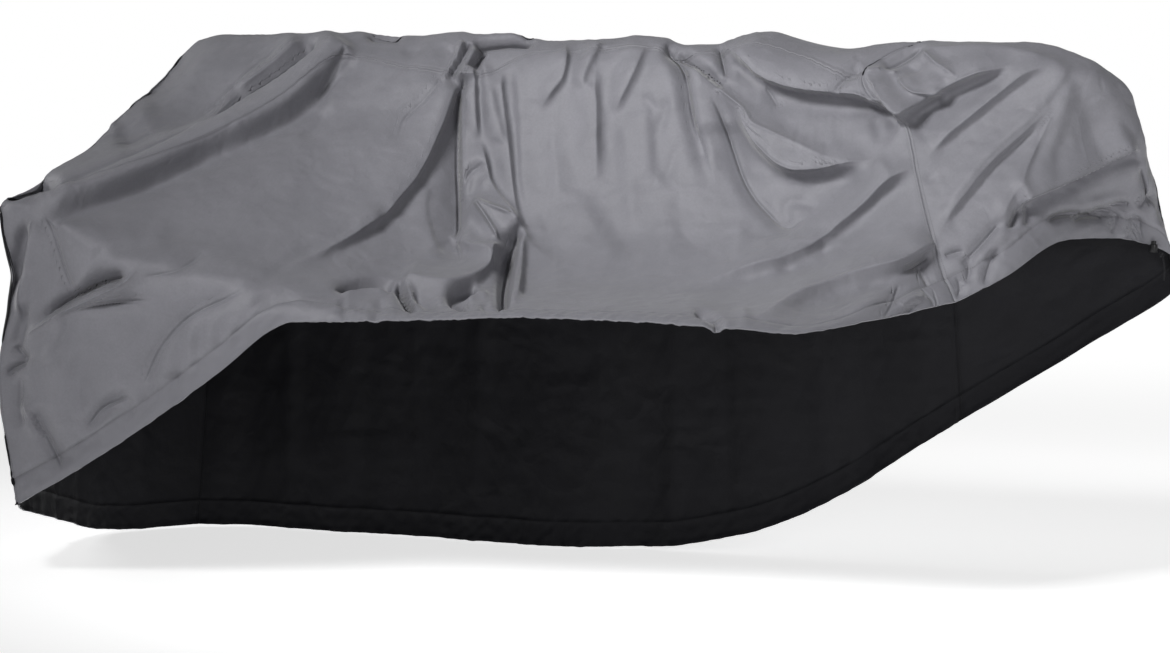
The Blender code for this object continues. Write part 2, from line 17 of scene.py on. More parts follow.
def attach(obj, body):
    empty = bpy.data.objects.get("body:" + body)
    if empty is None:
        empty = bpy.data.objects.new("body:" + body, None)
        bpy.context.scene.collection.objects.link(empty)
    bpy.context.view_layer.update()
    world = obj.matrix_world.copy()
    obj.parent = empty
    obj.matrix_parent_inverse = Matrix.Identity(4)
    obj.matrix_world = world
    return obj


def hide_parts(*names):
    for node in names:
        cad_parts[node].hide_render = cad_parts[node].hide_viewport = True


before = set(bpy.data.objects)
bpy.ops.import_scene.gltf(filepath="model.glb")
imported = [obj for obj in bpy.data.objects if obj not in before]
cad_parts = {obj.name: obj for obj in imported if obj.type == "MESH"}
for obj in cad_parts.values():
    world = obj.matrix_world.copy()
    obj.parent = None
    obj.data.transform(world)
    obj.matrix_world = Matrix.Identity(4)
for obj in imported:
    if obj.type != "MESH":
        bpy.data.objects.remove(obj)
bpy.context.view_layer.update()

bl_info = {
    "name": "Outdoor sofa cover",
    "version": (1, 0, 0),
    "blender": (4, 5, 0),
    "location": "View3D > Sidebar > Sofa cover",
    "description": "Models and finishes a draped outdoor sofa cover with its hem, drawcord and cord lock",
    "category": "Add Mesh",
}

# ---- sizes of the drape: places are measured from the left end, from the front and from the floor ----
COVER_WIDTH = 1.95
RIDGE_DEPTH = 0.66
CARRIED_HEIGHT = 1.0
ORIGIN = np.array((COVER_WIDTH / 2, RIDGE_DEPTH, CARRIED_HEIGHT))
HEM_BAND = 0.05
BACK_TOP_DROP = 0.030
BACK_TOP_DEPTH = 0.735
BACK_BELLY_DEPTH = 0.768
CURVE_SAMPLES = 400

# ---- the picture that the folds are drawn in: 1170 by 653 dots, seen from the sight point ----
SIGHT_POINT = np.array((3.660, -6.839, 1.196))
SIGHT_TURN = math.radians(20.205)
SIGHT_DIP = math.radians(5.309)
SIGHT_ROLL = math.radians(0.551)
SIGHT_REACH = 4078.4
PICTURE_WIDTH = 1170
PICTURE_MIDDLE = np.array((585.0, 326.5))
DOT = 0.00185
PATH_SAMPLES = 24
# the folds work fully on cloth that faces the sight point by the second share, and not at all below the first;
# they move it out along its normal, with this share of the direction to the sight point added
FACING_FROM = -0.35
FACING_TO = 0.05
SIGHT_SHARE = 0.6
# how far a lap slips over the cloth beside it, as a share of its rise
LAP_OVER = 0.55

# ---- the drawcord and its lock, at the hem of the right end ----
LOCK_PLACE = (2.003, 0.786, 0.640)
KNOT_PLACE = (2.0185, 0.786, 0.6255)
KNOT_LOOP = (0.00125, 0.00125, 0.0030)
CORD_DIAMETER = 0.0035
CORD_ROUTE = ((2.0210, .786, .6198), (2.0230, .786, .6120), (2.0243, .786, .6035), (2.0248, .786, .5945),
              (2.0246, .786, .5855), (2.0240, .786, .5770))
# the lock's barrel, with the recess in its top, its waist, its hollow foot and the cord's hole, and its button
# with two steps in its top; heights are from the lock's middle
BARREL_RADIUS, BARREL_HEIGHT, BARREL_MIDDLE = .0076, .0148, -.0026
RECESS_RIM, RECESS_DEPTH = .0018, .0022
WAIST_TOP, WAIST_MIDDLE, WAIST_FOOT, WAIST_SHARE = -.0022, -.0026, -.0030, .93
FOOT_RIM, FOOT_HOLLOW = .0012, .0008
HOLE_RADIUS, HOLE_LENGTH, HOLE_MIDDLE = .0021, .03, -.0062
BUTTON_RADIUS, BUTTON_HEIGHT, BUTTON_MIDDLE = .0050, .0058, .0081
BUTTON_STEPS = ((.0012, .0003), (.0009, -.0004))
BARREL_ROUNDING, BUTTON_ROUNDING = .0004, .0006

# ---- stage ----
FLOOR_RADIUS = 14.0
# the floor fades into the white surround between these distances from the cover's middle
FLOOR_FADE = (1.9, 4.6)
# spread: how wide the light's cone is, in degrees
Light = namedtuple("Light", "name wide high power place aim spread")
LIGHTS = (
    Light("key", 1.1, 0.8, 17.4, (-1.05, -2.80, 1.95), (0.42, 0, -.25), 62),
    Light("side", 1.0, 1.0, 5.0, (3.2, -2.6, 0.7), (0.95, 0.05, -.2), 60),
    Light("left", 1.2, 1.2, 4.0, (-3.6, -0.1, 0.6), (-1.0, 0.0, -.3), 60),
)
# One row a section of the cloth, from its ridge down the front to the hem; points are (across, deep, up).
# at: place along the front seam, 0 at the left corner and 1 at the right. seam: drop from ridge to top seam.
Section = namedtuple("Section", "at ridge shoulder upper middle lower turn drop hem seam")
SECTIONS = (
    Section(0.00, (.040, .705, .998), (.005, .635, .940), (.000, .474, .874), (.000, .283, .794),
            (-.012, .090, .735), (-.030, -.012, .700), (-.033, -.018, .380), (.004, -.020, .134), 0.800),
    Section(0.08, (.125, .690, 1.016), (.115, .620, .985), (.110, .460, .885), (.105, .270, .800),
            (.100, .090, .725), (.100, -.025, .665), (.100, -.035, .420), (.102, -.028, .187), 0.640),
    Section(0.17, (.270, .690, 1.018), (.270, .620, .992), (.265, .470, .885), (.260, .280, .775),
            (.255, .100, .670), (.250, -.020, .600), (.250, -.035, .440), (.249, -.028, .278), 0.380),
    Section(0.27, (.420, .690, 1.020), (.425, .620, .990), (.430, .480, .860), (.430, .300, .735),
            (.430, .110, .625), (.425, -.010, .570), (.424, -.030, .480), (.424, -.024, .401), 0.100),
    Section(0.36, (.565, .690, 1.020), (.570, .620, .985), (.575, .500, .830), (.580, .340, .680),
            (.580, .150, .590), (.575, .040, .555), (.572, .005, .530), (.570, -.005, .505), 0.120),
    Section(0.45, (.700, .690, 1.022), (.700, .620, .980), (.700, .530, .800), (.700, .410, .655),
            (.700, .260, .580), (.700, .120, .550), (.700, .040, .533), (.700, .000, .513), 0.125),
    Section(0.53, (.810, .690, 1.018), (.815, .620, .980), (.830, .545, .800), (.845, .430, .645),
            (.855, .290, .575), (.865, .150, .550), (.866, .070, .537), (.866, .020, .526), 0.060),
    Section(0.68, (1.030, .690, 1.020), (1.035, .620, .980), (1.050, .550, .800), (1.060, .440, .640),
            (1.070, .300, .570), (1.075, .170, .548), (1.076, .090, .538), (1.076, .050, .531), 0.050),
    Section(0.84, (1.260, .690, 1.020), (1.265, .620, .980), (1.290, .550, .800), (1.305, .440, .640),
            (1.315, .300, .570), (1.322, .170, .548), (1.323, .090, .538), (1.323, .050, .528), 0.050),
    Section(0.93, (1.430, .690, 1.012), (1.425, .650, .995), (1.430, .610, .940), (1.455, .550, .800),
            (1.475, .450, .660), (1.490, .320, .575), (1.500, .170, .540), (1.504, .080, .522), 0.080),
    Section(1.00, (1.575, .700, 1.022), (1.520, .665, 1.005), (1.478, .630, .962), (1.575, .560, .872),
            (1.617, .505, .765), (1.655, .455, .680), (1.690, .420, .605), (1.720, .400, .556), 0.131),
)

# How high the ridge stands along the cover, over the folds that cross it.
RidgeTop = namedtuple("RidgeTop", "across up")
RIDGE_TOPS = (
    RidgeTop(.04, 1.000), RidgeTop(.10, 1.015), RidgeTop(.27, 1.021), RidgeTop(.33, 1.018),
    RidgeTop(.40, 1.025), RidgeTop(.52, 1.018), RidgeTop(.62, 1.029), RidgeTop(.66, 1.024),
    RidgeTop(.73, 1.028), RidgeTop(.81, 1.015), RidgeTop(.95, 1.021), RidgeTop(.99, 1.027),
    RidgeTop(1.05, 1.023), RidgeTop(1.09, 1.010), RidgeTop(1.17, 1.013), RidgeTop(1.27, 1.034),
    RidgeTop(1.33, 1.021), RidgeTop(1.42, 1.007), RidgeTop(1.49, 1.018), RidgeTop(1.59, 1.028),
)

# The rear hem, from the left corner to the right one.
RearHem = namedtuple("RearHem", "at across deep up")
REAR_HEM = (
    RearHem(0.00, .030, .715, .004), RearHem(0.08, .130, .745, .003), RearHem(0.17, .270, .755, .003),
    RearHem(0.36, .560, .735, .003), RearHem(0.53, .830, .735, .003), RearHem(0.62, .977, .780, .004),
    RearHem(0.74, 1.183, .790, .040), RearHem(0.81, 1.294, .800, .080), RearHem(1.00, 1.620, .825, .285),
)

# The end panels: a row a section from the top seam down to the hem. at: 0 at the front seam, 1 at the back one.
EndSection = namedtuple("EndSection", "at top high middle low hem")
RIGHT_END = (
    EndSection(0.00, (1.478, .630, .962), (1.575, .560, .872), (1.617, .505, .765), (1.672, .440, .650),
               (1.720, .400, .556)),
    EndSection(0.18, (1.515, .650, .995), (1.640, .590, .905), (1.730, .540, .800), (1.785, .490, .690),
               (1.800, .460, .600)),
    EndSection(0.36, (1.550, .680, 1.015), (1.730, .625, .975), (1.830, .605, .870), (1.865, .600, .760),
               (1.885, .610, .662)),
    EndSection(0.48, (1.575, .700, 1.022), (1.740, .660, 1.020), (1.885, .650, .975), (1.935, .690, .810),
               (1.950, .765, .655)),
    EndSection(0.62, (1.590, .720, 1.010), (1.806, .700, 1.012), (1.992, .750, .924), (2.012, .770, .780),
               (2.040, .830, .610)),
    EndSection(0.74, (1.600, .735, .990), (1.800, .745, .990), (1.935, .795, .905), (2.012, .850, .740),
               (2.025, .890, .558)),
    EndSection(0.87, (1.600, .750, .960), (1.740, .775, .925), (1.850, .820, .800), (1.870, .850, .620),
               (1.860, .865, .440)),
    EndSection(1.00, (1.605, .760, .930), (1.625, .785, .760), (1.640, .800, .600), (1.635, .812, .440),
               (1.620, .825, .285)),
)
LEFT_END = (
    EndSection(0.00, (-.030, -.012, .700), (-.022, -.018, .560), (-.020, -.018, .450), (-.012, -.020, .280),
               (.004, -.020, .134)),
    EndSection(0.25, (-.005, .170, .755), (-.055, .165, .620), (-.078, .160, .450), (-.078, .155, .260),
               (-.065, .150, .095)),
    EndSection(0.50, (.000, .350, .822), (-.050, .350, .660), (-.080, .355, .450), (-.090, .360, .240),
               (-.088, .360, .050)),
    EndSection(0.75, (.000, .530, .897), (-.045, .530, .700), (-.075, .530, .470), (-.095, .530, .240),
               (-.105, .530, .010)),
    EndSection(0.92, (.025, .670, .970), (-.010, .665, .740), (-.030, .655, .490), (-.045, .640, .250),
               (-.050, .620, .003)),
    EndSection(1.00, (.042, .735, .965), (.035, .755, .740), (.030, .765, .490), (.030, .750, .250),
               (.030, .715, .004)),
)

# The folds, drawn in the picture. path: places in dots, going right or up. rise: how far the cloth stands out
# there, in mm, or in below 0. left, right: how far the fold spreads in mm on the two sides of its path, seen
# going along it; the left side is above a path that goes right. start, end: the shares of the path over which
# the fold grows and dies away. A soft fold is round, and an edge is a sharp line between two flat facets. A lap
# stands up on its left, and slips over the cloth on its right, where it drops steeply. A roll drops there
# roundly and doesn't slip. A dent moves the cloth to the right by its rise, on both sides of a corner.
Fold = namedtuple("Fold", "kind rise left right start end path")
UPPER_LEFT_FOLDS = (
    # the rolled edge, the flatter strip above it and the slits over that
    Fold("roll", 33, 38, 14, .10, .05, ((36, 209), (60, 199), (100, 186), (160, 163), (200, 144), (240, 128),
                                        (280, 107), (320, 74), (352, 42))),
    Fold("edge", -9, 9, 9, .15, .15, ((62, 195), (100, 179), (140, 159), (175, 141), (203, 124))),
    Fold("edge", -32, 19, 13, .16, .08, ((199, 126), (220, 108), (240, 92), (262, 79), (290, 61), (318, 42))),
    Fold("edge", 8, 13, 10, .15, .20, ((203, 118), (219, 101), (236, 85))),
    Fold("edge", 9, 20, 12, .12, .15, ((235, 84), (262, 66), (290, 47), (303, 38))),
    Fold("edge", -16, 80, 40, .15, .35, ((110, 146), (160, 123), (206, 102), (240, 78))),
    Fold("edge", -14, 60, 34, .25, .20, ((150, 128), (200, 104), (250, 66), (290, 36))),
    Fold("soft", 9, 22, 18, .10, .35, ((106, 126), (128, 117), (160, 104))),
    Fold("edge", -16, 8, 8, .20, .20, ((366, 37), (385, 35), (404, 37))),
    Fold("edge", -22, 15, 10, .30, .10, ((312, 96), (330, 74), (348, 52))),
    Fold("edge", 6, 18, 20, .25, .15, ((328, 116), (330, 92), (340, 70), (356, 48))),
    Fold("edge", -7, 12, 16, .20, .25, ((300, 137), (318, 122), (328, 104))),
)
LEFT_CORNER_FOLDS = (
    Fold("edge", -32, 13, 10, .20, .30, ((8, 201), (24, 191), (40, 188), (62, 196))),
    Fold("soft", 8, 11, 11, .20, .30, ((2, 210), (14, 206), (33, 201), (60, 199))),
    Fold("soft", -22, 11, 11, .40, .25, ((3, 302), (6, 274), (15, 247), (29, 219))),
    Fold("dent", 17, 60, 70, .45, .45, ((-2, 372), (-2, 310), (-2, 260), (-2, 206))),
    Fold("soft", -14, 9, 9, .25, .25, ((13, 352), (14, 326), (16, 300))),
    Fold("edge", 14, 7, 22, .20, .10, ((10, 326), (9, 288), (20, 252), (33, 218))),
    Fold("edge", -11, 20, 22, .12, .10, ((73, 292), (62, 266), (54, 240), (45, 214))),
    Fold("edge", 6, 30, 24, .10, .15, ((58, 220), (78, 240), (97, 257))),
    Fold("edge", 7, 18, 14, .15, .15, ((74, 290), (85, 275), (97, 257))),
    Fold("edge", 7, 14, 8, .15, .10, ((97, 257), (112, 264), (130, 274))),
    Fold("edge", -5, 16, 18, .25, .25, ((110, 252), (132, 247), (156, 242))),
)
LEFT_FOLDS = (
    # the blade-shaped pocket, the sharp ridge under it and the shallow one below
    Fold("edge", -26, 15, 7, .55, .12, ((22, 333), (50, 312), (80, 293), (104, 282), (129, 276))),
    Fold("edge", 12, 7, 15, .10, .22, ((20, 337), (55, 316), (100, 295), (128, 280), (137, 268), (139, 257))),
    Fold("edge", -14, 12, 15, .20, .25, ((54, 320), (75, 310), (110, 303), (154, 300))),
    Fold("edge", -8, 16, 18, .25, .20, ((140, 278), (172, 270), (206, 250))),
    Fold("edge", -12, 9, 9, .25, .25, ((4, 376), (14, 367), (28, 362))),
    Fold("edge", -12, 9, 9, .20, .20, ((28, 362), (18, 352), (10, 345))),
    Fold("edge", -9, 12, 14, .20, .20, ((21, 428), (18, 402), (18, 374))),
    Fold("edge", 8, 12, 9, .20, .20, ((41, 438), (30, 418), (22, 400))),
    Fold("edge", -13, 9, 22, .12, .20, ((62, 470), (50, 446), (40, 428), (29, 406))),
    Fold("edge", 6, 26, 18, .25, .25, ((57, 446), (60, 400), (62, 346))),
    Fold("edge", 7, 12, 9, .20, .20, ((45, 364), (54, 342), (63, 322))),
    Fold("edge", -6, 9, 11, .20, .20, ((53, 354), (62, 334), (72, 316))),
    Fold("edge", -6, 20, 22, .25, .25, ((76, 420), (78, 380), (82, 344))),
    Fold("edge", -11, 14, 17, .15, .20, ((85, 430), (103, 408), (132, 396))),
    Fold("edge", 6, 12, 10, .20, .20, ((92, 434), (110, 418), (126, 409))),
    Fold("soft", 6, 36, 36, .30, .30, ((104, 400), (122, 360), (136, 330))),
    Fold("edge", -4, 30, 30, .30, .30, ((150, 236), (200, 226), (252, 214))),
)
# the raised hem band at the left and the puckers that the drawcord makes in it
LEFT_HEM_PUCKERS = (
    Fold("edge", -10, 34, 12, .12, .25, ((142, 390), (150, 370), (158, 352), (170, 335), (186, 319), (204, 308),
                                         (226, 298), (252, 285))),
    Fold("edge", -4, 10, 14, .15, .25, ((240, 291), (259, 281), (299, 255), (329, 239), (346, 231),
                                        (366, 218))),
    Fold("edge", -4, 10, 9, .20, .20, ((176, 388), (181, 362), (180, 338))),
    Fold("edge", -5, 9, 9, .20, .20, ((197, 360), (199, 341), (200, 320))),
    Fold("edge", -3, 9, 11, .20, .20, ((213, 358), (221, 341), (219, 321))),
    Fold("edge", -4, 9, 9, .20, .20, ((238, 349), (238, 339), (235, 326))),
    Fold("edge", 4, 12, 9, .15, .20, ((169, 380), (169, 355), (174, 335))),
    Fold("edge", 3, 9, 9, .20, .20, ((185, 350), (190, 338), (191, 320))),
    Fold("edge", 4, 9, 9, .20, .20, ((204, 350), (210, 340), (211, 322))),
    Fold("edge", 3, 9, 9, .20, .20, ((226, 344), (229, 338), (228, 324))),
    Fold("edge", -7, 8, 8, .20, .20, ((163, 381), (172, 377), (181, 382))),
    Fold("edge", -7, 8, 8, .20, .20, ((180, 401), (175, 392), (171, 382))),
    Fold("edge", -6, 8, 8, .20, .20, ((160, 402), (156, 392), (150, 384))),
    Fold("edge", -5, 8, 8, .20, .20, ((150, 412), (146, 402), (140, 394))),
    Fold("edge", -5, 8, 8, .20, .20, ((200, 377), (196, 368), (194, 358))),
    Fold("edge", -5, 8, 8, .20, .20, ((131, 420), (129, 411), (124, 402))),
    Fold("soft", -3, 7, 7, .20, .20, ((88, 450), (84, 446), (79, 440))),
    Fold("soft", -3, 6, 6, .20, .20, ((100, 442), (96, 438), (92, 433))),
    Fold("soft", -3, 7, 6, .20, .20, ((70, 462), (67, 457), (66, 453))),
    Fold("edge", -5, 26, 12, .30, .30, ((250, 306), (274, 300), (300, 297))),
)
MIDDLE_SWAG_FOLDS = (
    Fold("lap", 14, 40, 13, .40, .05, ((262, 275), (300, 262), (340, 246), (370, 229), (386, 217), (401, 199),
                                       (416, 181), (427, 162), (438, 139), (448, 115), (455, 92), (459, 78))),
    Fold("edge", -8, 28, 20, .30, .06, ((396, 146), (403, 121), (424, 98), (439, 78), (457, 46))),
    Fold("edge", 9, 7, 5, .20, .10, ((440, 83), (452, 62), (465, 40))),
    Fold("edge", -13, 6, 4, .20, .10, ((447, 80), (457, 62), (470, 42))),
    Fold("edge", 8, 6, 6, .20, .10, ((459, 80), (468, 62), (478, 44))),
    Fold("edge", -24, 10, 6, .20, .10, ((470, 70), (478, 58), (484, 44))),
    Fold("edge", -5, 12, 10, .25, .25, ((374, 226), (381, 213), (377, 201))),
    Fold("edge", 5, 12, 10, .30, .30, ((352, 224), (366, 214), (379, 219))),
    Fold("soft", -6, 34, 34, .30, .30, ((300, 150), (340, 120), (385, 92))),
    Fold("soft", 4, 40, 40, .30, .30, ((330, 210), (370, 170), (404, 130))),
    Fold("edge", -4, 16, 14, .30, .20, ((372, 96), (398, 66), (420, 42))),
)
MIDDLE_PLEAT_FOLDS = (
    # the deep hollow on the left and the upright strip
    Fold("edge", -24, 30, 11, .20, .05, ((462, 264), (459, 240), (458, 200), (457, 160), (457, 120), (459, 92),
                                        (463, 76))),
    Fold("lap", 5, 22, 14, .25, .20, ((446, 263), (431, 236), (425, 205), (430, 180))),
    Fold("edge", 13, 6, 15, .12, .15, ((463, 196), (462, 160), (461, 120), (461, 84))),
    Fold("edge", 4, 12, 12, .12, .15, ((475, 170), (474, 140), (472, 110), (468, 84))),
    Fold("lap", 8, 10, 8, .20, .10, ((479, 140), (477, 112), (476, 86), (473, 62))),
    Fold("edge", -26, 8, 10, .12, .15, ((473, 46), (490, 42), (515, 40), (536, 40))),
    Fold("edge", 6, 5, 4, .10, .10, ((459, 76), (468, 76), (479, 77))),
    Fold("edge", -6, 4, 5, .10, .10, ((459, 81), (468, 81), (479, 81))),
    Fold("edge", 5, 8, 8, .15, .15, ((461, 98), (468, 90), (478, 84))),
    Fold("edge", 7, 8, 10, .20, .15, ((488, 140), (488, 112), (486, 86), (484, 58))),
    Fold("lap", 6, 10, 7, .20, .15, ((502, 148), (498, 126), (494, 105), (490, 86))),
    Fold("lap", 9, 20, 12, .40, .08, ((568, 270), (546, 255), (528, 238), (519, 216), (514, 190), (511, 160),
                                       (508, 130), (504, 100), (501, 70))),
    Fold("edge", 6, 7, 26, .20, .15, ((527, 214), (523, 180), (521, 140), (519, 100), (518, 60))),
    # the facets that meet at the foot of the strip
    Fold("lap", 12, 22, 9, .10, .25, ((521, 233), (511, 213), (500, 196), (491, 178), (487, 160), (479, 139))),
    Fold("edge", 18, 16, 20, .10, .10, ((471, 202), (490, 211), (518, 229))),
    Fold("edge", 16, 18, 13, .15, .12, ((500, 244), (488, 224), (473, 203))),
    Fold("edge", -8, 9, 8, .15, .20, ((462, 190), (469, 174), (481, 165))),
    Fold("edge", -6, 8, 8, .15, .20, ((470, 198), (474, 182), (487, 172))),
    Fold("lap", 11, 16, 14, .12, .10, ((448, 230), (462, 244), (478, 256), (495, 267))),
    Fold("edge", -32, 12, 10, .12, .12, ((504, 309), (504, 284), (508, 256), (517, 231))),
    Fold("edge", 9, 8, 10, .15, .15, ((510, 306), (514, 282), (518, 256), (518, 234))),
    Fold("lap", 8, 6, 16, .15, .15, ((517, 300), (521, 276), (522, 254), (519, 232))),
    Fold("edge", -4, 22, 22, .25, .25, ((575, 262), (552, 236), (536, 200))),
)
# the pockets in the hem under the pleat, and the turned-up hem to their right
MIDDLE_HEM_FOLDS = (
    Fold("lap", 17, 26, 16, .14, .10, ((394, 284), (422, 290), (447, 292), (470, 286), (486, 275), (495, 263),
                                       (499, 241))),
    Fold("edge", -24, 10, 7, .30, .12, ((332, 290), (350, 286), (372, 284), (395, 287))),
    Fold("edge", 8, 7, 9, .20, .20, ((338, 293), (366, 290), (392, 291))),
    Fold("edge", -28, 7, 8, .06, .35, ((397, 284), (403, 292), (409, 301), (416, 310))),
    Fold("edge", 10, 6, 8, .15, .25, ((406, 286), (412, 295), (418, 305))),
    Fold("edge", -15, 9, 8, .15, .40, ((413, 292), (424, 297), (438, 302))),
    Fold("edge", -26, 7, 7, .10, .30, ((476, 286), (462, 289), (451, 294), (458, 299), (464, 304), (463, 311))),
    Fold("edge", 8, 8, 8, .20, .20, ((466, 296), (478, 291), (490, 290))),
    Fold("edge", -7, 10, 8, .25, .25, ((343, 303), (368, 305), (392, 300))),
    Fold("edge", -6, 8, 8, .20, .20, ((341, 318), (345, 308), (340, 298))),
    Fold("edge", -7, 9, 9, .20, .20, ((372, 320), (378, 310), (386, 300))),
    Fold("edge", -8, 9, 8, .20, .20, ((480, 302), (490, 306), (502, 306))),
    Fold("edge", -14, 7, 8, .20, .10, ((694, 312), (706, 314), (715, 320), (717, 328))),
    Fold("edge", 6, 7, 8, .20, .10, ((748, 326), (744, 316), (743, 306))),
)
HANGING_FOLDS = (
    Fold("lap", 8, 24, 9, .35, .20, ((536, 112), (553, 93), (565, 76), (568, 58), (564, 42))),
    Fold("lap", 7, 14, 7, .20, .10, ((580, 90), (586, 73), (594, 58), (602, 42))),
    Fold("lap", 9, 30, 16, .40, .25, ((595, 194), (598, 150), (598, 110), (596, 80), (598, 58))),
    Fold("edge", 5, 20, 26, .25, .20, ((636, 240), (630, 190), (626, 140), (620, 112))),
    Fold("lap", 8, 20, 8, .25, .20, ((613, 115), (627, 90), (638, 68), (648, 42))),
    Fold("roll", 5, 18, 11, .20, .15, ((648, 184), (647, 152), (644, 127), (640, 106))),
    Fold("edge", -5, 7, 7, .20, .20, ((642, 95), (650, 104), (659, 110))),
    Fold("edge", -5, 7, 7, .20, .20, ((655, 134), (663, 118), (666, 96))),
    Fold("edge", -5, 8, 8, .20, .20, ((662, 182), (670, 168), (674, 150))),
    Fold("edge", -20, 18, 10, .40, .06, ((715, 186), (707, 162), (701, 144), (694, 126), (690, 108),
                                         (687, 85), (680, 62), (666, 42))),
    Fold("edge", 9, 7, 17, .25, .12, ((717, 186), (706, 154), (698, 130), (693, 104), (688, 74))),
    Fold("roll", 7, 14, 14, .20, .15, ((726, 134), (713, 112), (703, 92), (694, 72))),
    Fold("roll", 5, 34, 24, .30, .30, ((622, 270), (600, 240), (580, 208), (570, 188))),
    Fold("edge", 5, 24, 24, .30, .30, ((560, 206), (556, 160), (551, 118))),
    Fold("edge", -4, 20, 20, .25, .25, ((690, 250), (682, 220), (676, 190))),
    Fold("edge", 4, 20, 20, .30, .30, ((730, 256), (742, 240), (734, 214))),
)
RIGHT_SWAG_FOLDS = (
    Fold("lap", 30, 44, 16, .22, .07, ((716, 40), (733, 57), (747, 71), (762, 83), (780, 90), (800, 95),
                                       (840, 100), (866, 104), (886, 112), (905, 127))),
    Fold("edge", -9, 6, 7, .20, .20, ((764, 84), (770, 94), (778, 107))),
    Fold("edge", -14, 7, 7, .15, .20, ((725, 76), (722, 60), (720, 43))),
    Fold("edge", -22, 11, 5, .12, .10, ((677, 49), (700, 68), (723, 87))),
    Fold("edge", 11, 8, 16, .06, .45, ((688, 64), (712, 83), (740, 105), (770, 126), (810, 147), (848, 157))),
    Fold("lap", 26, 32, 32, .14, .22, ((737, 108), (751, 138), (765, 155), (780, 168), (797, 175), (830, 172),
                                       (876, 158))),
    Fold("edge", -13, 28, 14, .18, .12, ((710, 92), (722, 120), (732, 150), (745, 183), (762, 206), (785, 223),
                                         (806, 214))),
    Fold("edge", -7, 12, 7, .20, .20, ((785, 218), (784, 206), (782, 196))),
    Fold("edge", -7, 7, 9, .20, .20, ((782, 198), (799, 199), (818, 206))),
    Fold("edge", 6, 10, 10, .25, .25, ((764, 128), (765, 142), (772, 154))),
    Fold("edge", 5, 14, 14, .25, .25, ((742, 178), (752, 168), (772, 178))),
    Fold("lap", 14, 36, 15, .30, .12, ((681, 282), (700, 282), (740, 276), (780, 265), (800, 256), (820, 244),
                                       (845, 224), (870, 202), (890, 184), (918, 163))),
    Fold("edge", -5, 9, 10, .20, .20, ((806, 248), (818, 246), (829, 252))),
    Fold("edge", -4, 9, 10, .20, .20, ((776, 266), (786, 266), (793, 271))),
    Fold("lap", 18, 30, 18, .35, .10, ((743, 322), (765, 315), (792, 305), (830, 293), (862, 281), (898, 270),
                                       (924, 252), (939, 240))),
    Fold("edge", -7, 12, 12, .20, .20, ((860, 282), (876, 279), (893, 282))),
    Fold("edge", -14, 9, 8, .20, .20, ((901, 268), (914, 262), (929, 255))),
    Fold("edge", -12, 9, 8, .20, .20, ((932, 286), (925, 274), (920, 260))),
    Fold("edge", -10, 9, 9, .20, .20, ((884, 318), (894, 300), (900, 280))),
    Fold("edge", 8, 10, 10, .20, .20, ((900, 306), (914, 298), (926, 296))),
    Fold("edge", -11, 6, 6, .15, .15, ((921, 286), (930, 296), (940, 313))),
    Fold("edge", -9, 7, 7, .15, .15, ((902, 318), (910, 308), (922, 300))),
    Fold("edge", 6, 18, 14, .25, .25, ((852, 312), (872, 300), (886, 296))),
    Fold("soft", -4, 34, 34, .30, .30, ((760, 250), (800, 236), (836, 216))),
    Fold("edge", 7, 13, 13, .20, .20, ((743, 62), (755, 50), (768, 39))),
    Fold("edge", -9, 14, 10, .20, .20, ((834, 92), (846, 78), (866, 69))),
    Fold("edge", -7, 8, 6, .20, .20, ((866, 92), (876, 104), (886, 111))),
    Fold("edge", 6, 6, 7, .20, .20, ((890, 178), (884, 167), (877, 157))),
    Fold("edge", -5, 8, 8, .20, .20, ((879, 142), (876, 128), (871, 116))),
)
RIGHT_CORNER_FOLDS = (
    Fold("lap", 14, 12, 9, .30, .15, ((866, 70), (880, 89), (893, 108), (906, 127))),
    Fold("edge", 8, 7, 8, .15, .15, ((868, 72), (884, 70), (903, 73))),
    Fold("lap", 14, 30, 12, .20, .15, ((900, 73), (906, 86), (922, 95), (946, 96))),
    Fold("edge", -13, 15, 9, .15, .35, ((884, 71), (905, 58), (927, 42))),
    Fold("edge", 8, 9, 7, .15, .20, ((921, 49), (935, 62), (958, 75))),
    Fold("edge", -6, 8, 8, .20, .20, ((904, 64), (916, 70), (930, 80))),
    Fold("lap", 20, 28, 13, .06, .35, ((905, 123), (930, 103), (950, 92), (975, 80), (1000, 70), (1018, 61))),
    Fold("lap", 9, 16, 10, .25, .25, ((922, 162), (945, 140), (970, 119), (990, 102), (1010, 86), (1030, 72),
                                       (1054, 63))),
    Fold("lap", 6, 14, 8, .15, .08, ((942, 208), (965, 184), (985, 158), (1010, 134), (1035, 112), (1055, 90),
                                     (1070, 64))),
    Fold("lap", 8, 14, 7, .20, .25, ((937, 238), (950, 216), (970, 190), (990, 165), (1010, 146), (1030, 128),
                                      (1046, 110), (1060, 94))),
    Fold("lap", 8, 14, 18, .18, .20, ((998, 226), (1013, 196), (1024, 172), (1036, 148), (1048, 124),
                                      (1060, 102))),
    Fold("roll", 8, 14, 13, .25, .25, ((1030, 194), (1042, 166), (1052, 142), (1060, 116), (1066, 92),
                                       (1074, 64))),
    Fold("edge", 5, 14, 30, .25, .20, ((1046, 190), (1062, 160), (1072, 128), (1082, 96))),
    Fold("edge", -9, 14, 14, .20, .20, ((962, 264), (985, 240), (1004, 218))),
    Fold("edge", 5, 12, 12, .20, .20, ((974, 262), (992, 242), (1008, 224))),
    Fold("edge", -8, 7, 8, .20, .20, ((944, 256), (954, 252), (964, 250))),
    Fold("edge", -8, 8, 8, .20, .20, ((966, 284), (969, 270), (967, 256))),
    Fold("edge", -8, 8, 8, .20, .20, ((958, 298), (960, 286), (956, 274))),
    Fold("edge", -8, 10, 10, .20, .20, ((984, 286), (990, 264), (1000, 246))),
    Fold("edge", -4, 7, 7, .20, .20, ((922, 178), (930, 178), (936, 176))),
)
